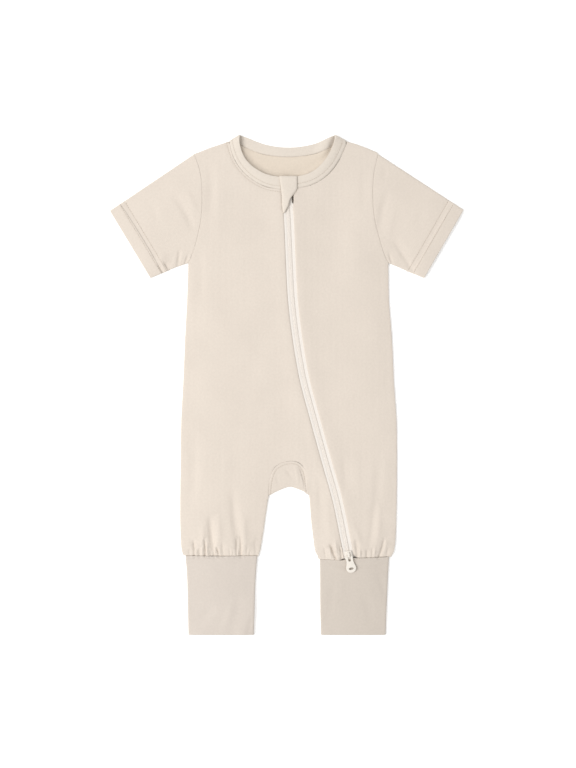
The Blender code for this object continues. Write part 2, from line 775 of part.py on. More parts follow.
def build_back_panel(parent):
    """The back of body and legs, flat on the table."""
    corners = [(0.99 * row.outer_x, row.outer_y - BAND_CORNER) for row in neck_rows(90)]
    neck = corners[:1] + column_points(neck_rows(180), "outer_x", "outer_y") + corners[1:]
    outline = joined(
        shifted(smooth_curve(neck, EDGE_STEP), -SEAM),
        column_points(SHOULDER, "left"),
        armhole("left"),
        side_seam("left"),
        thinned(leg_end("left")),
        inseam("left")[::-1],
        gusset_notch()[::-1],
        inseam("right"),
        thinned(leg_end("right"))[::-1],
        side_seam("right")[::-1],
        armhole("right")[::-1],
        column_points(SHOULDER, "right")[::-1],
    )
    cloth_panel("back_panel", outline, lambda p: np.zeros(len(p)), JERSEY, parent,
                step=BACK_GRID_STEP)


def zip_edge(side, top):
    """Return the turned panel edge beside the zip, from the neck seam to the cuff seam."""
    distance = 0.5 * ZIP_VISIBLE * (-1 if side == "right" else 1)
    edge = shifted(FINE_ZIP_PATH, distance)
    bottom = leg_end("left")[:, 1].mean()
    edge = edge[(edge[:, 1] < top) & (edge[:, 1] > bottom)]
    return thinned(resample(edge, EDGE_STEP))


def build_front_panels(parent):
    """The two fronts, either side of the slanting zip."""
    guides = [shifted(ZIP_PATH, sign * (TAPE_REACH + ZIP_LIFT_FLAT)) for sign in (-1, 1)]
    extra = np.vstack(guides + [crease_points(GATHERS), crease_points(FOLDS)])
    neck = {}
    for side in ("right", "left"):
        rows = column_points(neck_rows(0, side), "outer_x", "outer_y")
        neck[side] = shifted(smooth_curve(rows, EDGE_STEP), SEAM)

    edge = zip_edge("right", neck["right"][0][1] - 0.3)
    seam = leg_end("left")
    outline = joined(
        neck["right"][::-1],
        edge,
        seam[seam[:, 0] < edge[-1][0] - 0.5],
        inseam("left")[::-1],
        gusset_notch()[::-1],
        inseam("right"),
        leg_end("right")[::-1],
        side_seam("right")[::-1],
        armhole("right")[::-1],
        column_points(SHOULDER, "right")[::-1],
    )
    cloth_panel("front_right_panel", outline, panel_under, JERSEY, parent, extra=extra)

    edge = zip_edge("left", neck["left"][-1][1] - 0.3)
    outline = joined(
        neck["left"],
        edge,
        seam[seam[:, 0] > edge[-1][0] + 0.5][::-1],
        side_seam("left")[::-1],
        armhole("left")[::-1],
        column_points(SHOULDER, "left")[::-1],
    )
    cloth_panel("front_left_panel", outline, panel_under, JERSEY, parent, extra=extra)


def gusset_section(top, bottom):
    """Return the gusset's section from its front seam down to the fold and back up."""
    length = np.linalg.norm(bottom - top)
    down = (bottom - top) / length
    fold = min(1.3, 0.35 * length)
    at = [top + down * (length - fold) * share for share in (0, 1 / 3, 2 / 3, 1)]
    inner_fold = bottom - down * 0.85 * fold
    round_fold = bottom - down * 0.3 * fold
    under = front_under(at + [bottom, inner_fold])
    high = under + JERSEY
    section = [(*point, z) for point, z in zip(at, high)]
    section += [(*round_fold, high[4] - 0.25), (*bottom, 0.5 * high[4]), (*round_fold, 0.25)]
    section += [(*point, 0.0) for point in at[::-1]]
    section += [(*point, JERSEY) for point in at[:3]]
    section += [(*inner_fold, 0.5 * (JERSEY + under[5]))]
    section += [(*point, z) for point, z in zip(at[2::-1], under[2::-1])]
    return section


def build_gusset(parent):
    """The crotch piece: a front and a back half joined by the fold at the crotch."""
    seam = smooth_curve(column_points(GUSSET_SEAM, "x"), 0.25)
    fold = smooth_curve(column_points(CROTCH, "x"), 0.25)
    sections = []
    for share in np.linspace(0.01, 0.99, 15):
        top = seam[int(share * (len(seam) - 1))]
        bottom = fold[int(share * (len(fold) - 1))]
        sections.append(gusset_section(top, bottom))
    loft_rings("gusset", sections, parent, cap=GUSSET_CAP)


# ---------------------------------------------------------------- sleeves and cuffs

def tube_ring(line, wall, inner, across):
    """Return one ring of a flattened tube along a plan line, its outer or inner face."""
    path = resample(line, 0.5)
    length = path_length(path)
    inset = wall if inner else 0.0
    low = wall if inner else 0.0
    start, end = inset, length[-1] - inset
    flat = np.linspace(start + TUBE_EDGE_DEPTH, end - TUBE_EDGE_DEPTH, across)[1:-1]
    places = [(distance, 0.0) for distance in flat]
    places += [(end - row.distance, row.height) for row in TUBE_EDGE]
    places += [(distance, 1.0) for distance in flat[::-1]]
    places += [(start + row.distance, row.height) for row in TUBE_EDGE[::-1]]
    at = np.array([distance for distance, _ in places])
    plan = np.column_stack([np.interp(at, length, path[:, k]) for k in (0, 1)])
    high = front_under(plan, wall) + (0.0 if inner else wall)
    share = np.array([height for _, height in places])
    return [(*point, low + part * (top - low)) for point, part, top in zip(plan, share, high)]


def flat_tube(name, lines, walls, across, parent):
    """Build a flattened tube, open at both ends, through plan lines across it."""
    outer = [tube_ring(line, wall, False, across) for line, wall in zip(lines, walls)]
    inner = [tube_ring(line, wall, True, across) for line, wall in zip(lines, walls)]
    loft_rings(name, outer + inner[::-1], parent, closed=True)


def build_sleeve(side, parent):
    """A short sleeve: one tube from the armhole seam to the turned hem."""
    seam = smooth_curve(column_points(ARMHOLE, side), 1.0)
    seam = shifted(seam, -HALF_SEAM if side == "right" else HALF_SEAM)
    seam = resample(seam, path_length(seam)[-1] / 12)
    hem = np.linspace(sleeve_corner(side, "hem_top"), sleeve_corner(side, "hem_bottom"), len(seam))
    lower = sleeve_lower_edge(side)
    lower = resample(lower, path_length(lower)[-1] / 200)
    weight = np.linspace(0, 1, len(seam))[:, None] ** 3
    stitching = HEM_DEPTH / np.linalg.norm(hem - seam, axis=1)[:, None]
    shares = [stitching + (1 - stitching) * part for part in SLEEVE_STATIONS]
    shares += [stitching * part for part in HEM_STATIONS]
    lines, walls = [], []
    for from_hem in shares:
        straight = from_hem * seam + (1 - from_hem) * hem
        bow = lower[int(round((1 - from_hem[-1, 0]) * 200))] - straight[-1]
        lines.append(straight + bow * weight)
        walls.append(JERSEY + (HEM_EXTRA if from_hem[0, 0] <= stitching[0, 0] else 0.0))
    flat_tube("sleeve_" + side, lines, walls, 11, parent)


def build_cuff(side, parent):
    """A deep leg cuff: one tube of doubled interlock below the gathered leg."""
    top = cuff_seam(side) - np.array([0.0, HALF_SEAM])
    sag = top - np.linspace(top[0], top[-1], len(top))
    fade = next(row.fade for row in CUFF_SEAM_SAG if row.side == side)
    edges = [smooth_curve(column_points(CUFF, side + name), 0.5) for name in ("_outer", "_inner")]
    lines = [top]
    for share in CUFF_STATIONS:
        ends = [edge[int(round(share * (len(edge) - 1)))] for edge in edges]
        lines.append(np.linspace(ends[0], ends[1], len(top)) + sag * max(1 - share / fade, 0))
    flat_tube("cuff_" + side, lines, [INTERLOCK] * len(lines), 13, parent)


# ---------------------------------------------------------------- neck

def band_section(inner, outer, levels, normal):
    """Return the band's section: a rounded fold at the inner edge, square at the seam."""
    inner = np.array([*inner, levels[0]])
    outer = np.array([*outer, levels[1]])
    half = 0.5 * BAND * np.array(normal)
    width = (outer - inner) / np.linalg.norm(outer - inner)
    section = [
        inner + 0.8 * width + half,
        outer + half,
        outer - half,
        inner + 0.8 * width - half,
        inner + 0.15 * width - 0.6 * half,
        inner + 0.15 * width + 0.6 * half,
    ]
    return [tuple(point) for point in section]


def band_fold_sections(inner, outer, forward):
    """Return the sections where the band folds over the shoulder, from front to back."""
    width = (outer - inner) / np.linalg.norm(outer - inner)
    out = np.array([width[1], -width[0]])
    if out[1] < 0:
        out = -out
    radius = 0.5 * (BAND + SEAM)
    sections = []
    for angle in BAND_FOLD_ANGLES if forward else BAND_FOLD_ANGLES[::-1]:
        turn = math.radians(angle)
        move = out * (radius * math.sin(turn) - radius - 0.5 * BAND)
        level = 0.5 * BAND + radius * (1 + math.cos(turn))
        normal = (*(out * math.sin(turn)), math.cos(turn))
        sections.append(band_section(inner + move, outer + move, (level, level), normal))
    return sections


def build_neckband(parent):
    """One folded band, from the zip over the shoulders and round the back of the neck."""
    sections = []
    for row in NECK:
        inner = np.array([row.inner_x, row.inner_y])
        outer = np.array([row.outer_x, row.outer_y])
        if row.turn == 90:
            sections += band_fold_sections(inner, outer, forward=row.inner_x < 0)
        elif row.turn == 0:
            levels = 1.5 * BAND + SEAM + loft([inner, outer])
            sections.append(band_section(inner, outer, levels, (0, 0, 1)))
        else:
            sections.append(band_section(inner, outer, (0.5 * BAND, 0.5 * BAND), (0, 0, -1)))
    loft_rings("neckband", sections, parent)


def build_garage(parent):
    """The folded flap that covers the zip's top end, lying on the ends of the band."""
    corners = np.array(column_points(GARAGE, "x"))
    lifts = np.array([row.lift for row in GARAGE])
    lowest = JERSEY + SEAM + ZIP_LIFT + JERSEY + SEAM

    def under(points):
        gap = np.linalg.norm(points[:, None, :] - corners[None], axis=2) + 0.3
        weight = gap ** -3
        return lowest + loft(points) + (weight * lifts).sum(axis=1) / weight.sum(axis=1)

    outline = joined(*[resample([a, b], GARAGE_STEP)
                       for a, b in zip(corners, np.roll(corners, -1, axis=0))])
    cloth_panel("zip_garage", outline, under, FLAP, parent, step=GARAGE_STEP)


# ---------------------------------------------------------------- zip

def zip_stations(top, bottom):
    """Return points down the middle of the zip between two heights."""
    path = ZIP_PATH[(ZIP_PATH[:, 1] < top - 1.0) & (ZIP_PATH[:, 1] > bottom + 1.0)]
    ends = []
    for y in (top, bottom):
        x = np.interp(-y, -FINE_ZIP_PATH[:, 1], FINE_ZIP_PATH[:, 0])
        ends.append([x, y])
    return np.vstack([ends[:1], path, ends[1:]])


def beside_zip(path, distance):
    """Return a zip path moved sideways, its two ends kept level with the path's own."""
    moved = shifted(path, distance)
    run = np.gradient(path, axis=0)
    for k in (0, -1):
        moved[k] += run[k] * (path[k, 1] - moved[k, 1]) / run[k, 1]
    return moved


def build_zip_tape(side, parent):
    """One woven tape, from beside the chain to under the panel's turned edge."""
    sign = -1 if side == "right" else 1
    path = zip_stations(ZIP_TOP, ZIP_BOTTOM)
    near = beside_zip(path, sign * (0.5 * CHAIN_WIDTH + SEAM))
    narrow = beside_zip(path, sign * TAPE_REACH_AT_NECK)
    wide = beside_zip(path, sign * TAPE_REACH)
    below_band = np.clip((TAPE_NARROW_ABOVE - path[:, 1]) / TAPE_NARROWING, 0, 1)
    far = narrow + (wide - narrow) * below_band[:, None]
    rings = []
    for a, b, za, zb in zip(near, far, zip_level(near), zip_level(far)):
        rings.append([(*a, za), (*b, zb), (*b, zb + TAPE_WALL), (*a, za + TAPE_WALL)])
    loft_rings("zip_tape_" + side, rings, parent)


def slider_turn():
    """Return how far the zip leans from straight down at the slider, in radians."""
    upper, lower = ZIP[-3], ZIP[-1]
    return math.atan2(lower.x - upper.x, upper.y - lower.y)


def build_zip_chain(parent):
    """The closed coil: one low rounded bead between the tapes, ending in the slider."""
    bottom = SLIDER_Y - (POST_START - SEAM) * math.cos(slider_turn())
    path = zip_stations(ZIP_TOP - 1.0, bottom)
    along = np.gradient(path, axis=0)
    along /= np.linalg.norm(along, axis=1)[:, None]
    rings = []
    for point, run, level in zip(path, along, zip_level(path) - CHAIN_DROP):
        side = np.array([-run[1], run[0]])
        rings.append([(*(point + side * row.across * CHAIN_WIDTH),
                       level + row.height * CHAIN_HEIGHT) for row in CHAIN_SECTION])
    loft_rings("zip_chain", rings, parent)


def slider_frame():
    """Return the matrix from slider axes (w across, s down the zip, z up) to the garment."""
    x = np.interp(-SLIDER_Y, -FINE_ZIP_PATH[:, 1], FINE_ZIP_PATH[:, 0])
    turn = slider_turn()
    frame = Matrix.Identity(4)
    frame.col[0][:3] = (-math.cos(turn), -math.sin(turn), 0)
    frame.col[1][:3] = (math.sin(turn), -math.cos(turn), 0)
    frame.col[3][:3] = (x, SLIDER_Y, zip_level([(x, SLIDER_Y)])[0])
    return frame


def prism(outline, low, high, lying=False):
    """Return a closed bmesh prism over an outline, standing along z or lying along w."""
    bm = bmesh.new()
    ends = []
    for t in (low, high):
        points = [(t, a, b) if lying else (a, b, t) for a, b in outline]
        ends.append([bm.verts.new(point) for point in points])
    lower, upper = ends
    bm.faces.new(lower[::-1])
    bm.faces.new(upper)
    for k, vert in enumerate(lower):
        bm.faces.new((lower[k - 1], vert, upper[k], upper[k - 1]))
    split_large_faces(bm)
    bmesh.ops.recalc_face_normals(bm, faces=bm.faces)
    return bm


def helper_object(bm):
    """Return a throwaway object that holds one shape."""
    mesh = bpy.data.meshes.new("shape")
    bm.to_mesh(mesh)
    bm.free()
    obj = bpy.data.objects.new("shape", mesh)
    bpy.context.collection.objects.link(obj)
    return obj


def combined(first, others, operation):
    """Return the bmesh of first joined with, or cut by, each of the others in turn."""
    base = helper_object(first)
    helpers = [helper_object(other) for other in others]
    for helper in helpers:
        modifier = base.modifiers.new("step", "BOOLEAN")
        modifier.operation = operation
        modifier.solver = "EXACT"
        modifier.object = helper
    graph = bpy.context.evaluated_depsgraph_get()
    graph.update()
    bm = bmesh.new()
    bm.from_mesh(base.evaluated_get(graph).to_mesh())
    for obj in [base] + helpers:
        bpy.data.objects.remove(obj)
    return bm


def both_sides(rows, along):
    """Return a closed outline, mirrored about the middle line, from its half widths."""
    left = [(row.half_width, getattr(row, along)) for row in rows]
    right = [(-w, s) for w, s in reversed(left) if w > 0]
    return left + right


def oval(half_width, half_height, corners, centre=0.0):
    """Return an oval outline centred at (0, centre)."""
    angles = np.linspace(0, 2 * math.pi, corners + 1)[:-1]
    return [(half_width * math.cos(a), centre + half_height * math.sin(a)) for a in angles]


def build_slider(parent):
    """The cast slider: two plates, the post between them, flanges and bridge."""
    plan = both_sides(SLIDER_PLAN, "s")
    lower_top = -CHAIN_DROP - SEAM
    upper_low = CHAIN_HEIGHT - CHAIN_DROP + SEAM
    upper_top = upper_low + PLATE
    shapes = [prism(plan, lower_top - PLATE, lower_top)]
    middle = 0.5 * (POST_START + POST_END)
    post = [(0.0, POST_START), (POST_HALF_WIDTH, middle), (0.0, POST_END), (-POST_HALF_WIDTH, middle)]
    shapes.append(prism(post, lower_top - 0.5 * PLATE, upper_low + 0.5 * PLATE))
    rim = [row for row in SLIDER_PLAN if row.s <= 0]
    for sign in (1, -1):
        outer = [(sign * (row.half_width - OVERLAP), row.s + OVERLAP) for row in rim]
        inner = [(w - sign * (FLANGE_WIDTH - OVERLAP), s) for w, s in reversed(outer)]
        shapes.append(prism(outer + inner, upper_low - FLANGE_DROP, upper_low + 0.4 * PLATE))
    bridge = [(row.s, upper_top + row.height) for row in BRIDGE_PROFILE]
    shapes.append(prism(bridge, -BRIDGE_HALF_WIDTH, BRIDGE_HALF_WIDTH, lying=True))
    bm = combined(prism(plan, upper_low, upper_top), shapes, "UNION")
    bmesh.ops.transform(bm, matrix=slider_frame(), verts=bm.verts)
    add_object("zip_slider", bm, parent)


def build_pull_tab(parent):
    """The pull tab, lying on the cuff, with its origin on the hinge."""
    half = 0.5 * TAB_WALL
    before_hinge = -2 * TAB_WALL
    slot = [(TAB_SLOT_HALF_WIDTH, before_hinge),
            (TAB_SLOT_HALF_WIDTH, TAB_SLOT_END - TAB_SLOT_CORNER),
            (TAB_SLOT_HALF_WIDTH - TAB_SLOT_CORNER, TAB_SLOT_END),
            (TAB_SLOT_CORNER - TAB_SLOT_HALF_WIDTH, TAB_SLOT_END),
            (-TAB_SLOT_HALF_WIDTH, TAB_SLOT_END - TAB_SLOT_CORNER),
            (-TAB_SLOT_HALF_WIDTH, before_hinge)]
    hole = oval(TAB_HOLE_HALF_WIDTH, TAB_HOLE_HALF_LENGTH, 14, TAB_HOLE_R)
    cuts = [prism(outline, -TAB_WALL, TAB_WALL) for outline in (slot, hole)]
    plate = combined(prism(both_sides(TAB_PLAN, "r"), -half, half), cuts, "DIFFERENCE")

    nose = [(TAB_NOSE - half * math.sin(a), half * math.cos(a)) for a in np.linspace(0, math.pi, 9)]
    additions = []
    for sign in (1, -1):
        ends = sorted((sign * TAB_SLOT_HALF_WIDTH, sign * TAB_PLAN[0].half_width))
        additions.append(prism(nose, ends[0], ends[1], lying=True))
    bar = oval(TAB_BAR_RADIUS, TAB_BAR_RADIUS, 12)
    bar_end = TAB_SLOT_HALF_WIDTH + 0.5 * TAB_WALL
    additions.append(prism(bar, -bar_end, bar_end, lying=True))
    bm = combined(plate, additions, "UNION")

    frame = slider_frame()
    upper_top = CHAIN_HEIGHT - CHAIN_DROP + SEAM + PLATE
    hinge = frame @ Vector((0, TAB_HINGE_S, upper_top + TAB_HINGE_HEIGHT))
    tilt = Matrix.Rotation(math.radians(-TAB_TILT), 4, "X")
    bmesh.ops.transform(bm, matrix=frame.to_3x3().to_4x4() @ tilt, verts=bm.verts)
    tab = add_object("zip_pull_tab", bm, parent)
    tab.location = hinge * MM


def build():
    """Build every piece under one empty at the garment's origin."""
    for obj in list(bpy.data.objects):
        bpy.data.objects.remove(obj)
    romper = bpy.data.objects.new("romper", None)
    bpy.context.collection.objects.link(romper)
    build_back_panel(romper)
    build_front_panels(romper)
    build_gusset(romper)
    build_neckband(romper)
    build_garage(romper)
    for side in ("right", "left"):
        build_sleeve(side, romper)
        build_cuff(side, romper)
        build_zip_tape(side, romper)
    build_zip_chain(romper)
    build_slider(romper)
    build_pull_tab(romper)


build()
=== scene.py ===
"""Looks of the short-sleeve zip romper: knit cloth, stitching, zip, slider, tab and stage.

The work is done in millimetres, in the frame's axes: +Y towards the neck, +X towards the
wearer's left, +Z up from the table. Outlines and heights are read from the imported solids.
"""

import math
from collections import namedtuple

import bmesh
import bpy
import numpy as np
from bpy.props import FloatProperty, FloatVectorProperty, PointerProperty
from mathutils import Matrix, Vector, noise
from mathutils.bvhtree import BVHTree
from mathutils.geometry import delaunay_2d_cdt


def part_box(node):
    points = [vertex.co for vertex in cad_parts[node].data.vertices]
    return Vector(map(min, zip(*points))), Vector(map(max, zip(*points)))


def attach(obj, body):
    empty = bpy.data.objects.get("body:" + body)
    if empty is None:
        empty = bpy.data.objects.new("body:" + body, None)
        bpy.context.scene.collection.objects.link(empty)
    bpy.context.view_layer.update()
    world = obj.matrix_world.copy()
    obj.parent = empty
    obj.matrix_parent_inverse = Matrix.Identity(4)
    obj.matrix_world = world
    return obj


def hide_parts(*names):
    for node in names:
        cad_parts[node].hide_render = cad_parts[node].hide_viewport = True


bl_info = {
    "name": "Zip romper",
    "version": (1, 0, 0),
    "blender": (4, 5, 0),
    "location": "View3D > Sidebar > Romper",
    "description": "Dresses a laid-out zip romper in knit cloth, stitching, zip and stage",
    "category": "Object",
}

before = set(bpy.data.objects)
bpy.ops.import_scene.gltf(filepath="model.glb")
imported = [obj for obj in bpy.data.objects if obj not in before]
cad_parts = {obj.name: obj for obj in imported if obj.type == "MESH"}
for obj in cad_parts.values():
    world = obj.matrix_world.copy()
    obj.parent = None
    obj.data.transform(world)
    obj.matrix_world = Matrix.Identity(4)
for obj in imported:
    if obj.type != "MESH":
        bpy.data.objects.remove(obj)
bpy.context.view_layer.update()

MM = 0.001
MERGE = 2e-6                 # corners of a solid's loose triangles nearer than this are one
FACING_UP = 0.6              # a face whose normal rises more than this belongs to the top
ABOVE = 60.0                 # a height above everything, where looks down begin
CUT_EDGE = math.radians(60)  # edges of a solid sharper than this are cut, not folded

# How cloth lies, in millimetres
SIDE_TOP = 2.3               # top of the front cloth where it folds over into the back
TUBE_SIDE_TOP = 1.4          # the same for sleeves and cuffs
RELIEF_RISE = 1.3            # creases reach full height where the cloth is this much higher
CLOSER = 0.14                # how far an edge comes nearer to its seam than the solid's does
BAND_CLOSER = 0.36           # the same for neckband and gusset
LEFT_OPEN = 0.06             # the gap that stays between a cuff and its leg
GATHERED_UP = {"cuff_right": 2.4, "cuff_left_inner": -1.4, "cuff_left_outer": 1.2}
CREASE_END_FADE = 6.0        # how far a crease runs out beyond its ends
NARROW_CREASE = 4.5          # creases narrower than this get mesh rows of their own

# The back's neck edge lies above this y and no further from the middle than half its width.
# The neckband's seam on it is a little shorter.
BACK_NECK_Y = 225.0
BACK_NECK_HALF = 66.0
BAND_SEAM_HALF = 64.0
UNDER_BAND = 0.56            # how far the back reaches out below the neckband

# Beside the zip
HALF_STRIP = 5.35            # half of the zip that shows between the panels
FLAT_BESIDE_ZIP = 6.4        # no crease comes nearer to the zip's middle
ZIP_CALM = 3.0               # creases start over this width from there,
CALM_HEIGHTS = (6.0, 18.0)   # and suddenly below the first of these heights above the cuff
ZIP_DIP = {"front_right_panel": 0.5, "front_left_panel": 0.42}  # how far the fronts sink there
ZIP_DIP_REACH = 4.5
ZIP_NOTCH = (3.0, 6.0)       # how high and how wide the fronts open at the zip's lower end
SLIT = (1.6, 193.0, 7.0)     # the left front's gap beside the garage: width, start, ramp
PULLED_IN = (1.7, 202.0, 5.0)  # the garage's slanting edge: how far, at what y, how wide

# Edges: over what width they round down, and by what share of the wall
ZIP_ROLL = (2.6, 0.5)
SEAM_ROLL = (0.6, 0.12)
FREE_DROP = 0.6

# Meshes
PANEL_SMOOTHING = 14         # rounds of averaging that take the facets out of a panel
TUBE_SMOOTHING = 8
INSET_ROWS = (0.3, 0.8, 1.5, 2.4)  # rows of points inside an outline
TUBE_POINTS = 90             # points across a sleeve or a cuff, before they are spread
NEAR_HEM = 30.0              # a sleeve has rows of its own up to this distance from its hem


def table(columns, *rows):
    """Return the rows of a small table, with the columns reachable by name."""
    row_type = namedtuple("Row", columns)
    return [row_type(*row) for row in rows]


# Stretches of the panels' rims, counter-clockwise between two corners
STRETCHES = table(
    "name node start end",
    ("neck_right", "front_right_panel", (-5.8, 212.3), (-62.9, 264.9)),
    ("armhole_right", "front_right_panel", (-101.0, 251.3), (-107.2, 132.6)),
    ("cuff_right", "front_right_panel", (-111.4, -188.4), (-32.2, -188.4)),
    ("gusset", "front_right_panel", (-20.2, -119.0), (24.0, -118.0)),
    ("cuff_left_inner", "front_right_panel", (35.0, -188.4), (62.6, -189.5)),
    ("zip_right", "front_right_panel", (62.6, -189.5), (-5.8, 212.3)),
    ("zip_left", "front_left_panel", (5.6, 212.9), (73.3, -189.6)),
    ("cuff_left_outer", "front_left_panel", (73.3, -189.6), (112.4, -188.4)),
    ("armhole_left", "front_left_panel", (110.7, 132.6), (99.5, 251.3)),
    ("neck_left", "front_left_panel", (65.7, 264.9), (5.6, 212.9)),
)

# Seams: how wide and how deep the cloth sinks beside them
SEAMS = table(
    "name width depth",
    ("neck_right", 1.4, 0.12),
    ("neck_left", 1.4, 0.16),
    ("armhole_right", 1.5, 0.05),
    ("armhole_left", 1.4, 0.12),
    ("gusset", 1.6, 0.06),
    ("cuff_right", 1.6, 0.1),
    ("cuff_left_inner", 1.6, 0.1),
    ("cuff_left_outer", 1.6, 0.1),
)

# Rows of stitching beside a seam: how far to its left they run (to its right below 0)
# and how deep they press in
STITCH_ROWS = table(
    "seam beside depth",
    ("neck_right", 2.6, 0.26),
    ("neck_right", -3.5, 0.3),
    ("neck_left", -5.0, 0.22),
    ("gusset", -2.9, 0.22),
)
HEM_ROWS = (12.9, 19.3)      # double needle rows of the sleeves, from the hem's edge
HEM_DEPTH = 0.16

# Where the garage is sewn down it presses a furrow into band and front
GARAGE_FURROW = ([(-8.5, 227.2), (-7.8, 222.0), (-6.5, 211.8), (-5.8, 204.0), (-5.0, 191.0)], 0.5)

# At each shoulder the band's front stands up and its back sinks, so that the fold is deep
SHOULDER_FOLD = table("width lift_from lift_ramp lift sink_from sink_ramp sink",
                      (11.0, 249.0, 17.0, 3.0, 240.0, 14.0, 0.9))[0]
# On the left the back also humps up beside that fold
SHOULDER_HUMP = table("height near far from_y ramp", (2.3, 6.2, 19.0, 244.0, 14.0))[0]
# The neckband's back half lies between two heights, and its front half begins over a rise.
# The front is laid level with the body beside the seam, the back slopes down to its own.
BAND = table("lower upper front_rise level_reach back_sink back_reach floor",
             (0.8, 1.7, 2.0, 9.0, 0.8, 4.0, 0.2))[0]
LEVELLED = (-1.8, 0.5)       # how far down and up the band is moved for that

# Inner edge of the neck from the shoulder down, as x and y, how high the back rises towards
# it, and how wide that slope is. At the shoulders a deep fold stays open.
NECK_INSIDE = {
    "right": np.array([
        (-51.4, 272.0, 0.1, 8.0), (-50.9, 263.3, 0.4, 9.0), (-49.2, 255.6, 1.3, 9.0),
        (-46.5, 246.9, 2.6, 8.0), (-42.1, 240.4, 2.7, 7.0), (-35.6, 235.5, 2.6, 6.0),
        (-26.9, 230.6, 2.4, 6.0), (-18.2, 227.3, 2.4, 6.0), (-6.0, 224.6, 2.4, 6.0)]),
    "left": np.array([
        (55.3, 272.0, 0.0, 5.0), (50.4, 261.1, 0.0, 5.0), (48.8, 255.6, 0.2, 5.0),
        (46.1, 250.2, 0.8, 5.0), (42.8, 244.8, 1.8, 6.0), (37.4, 238.2, 2.4, 6.0),
        (29.7, 232.8, 2.4, 6.0), (18.0, 227.6, 2.4, 6.0), (6.0, 224.6, 2.4, 6.0)]),
}
OUTER_SLOPE = 2.5            # how wide the same slope is below the front

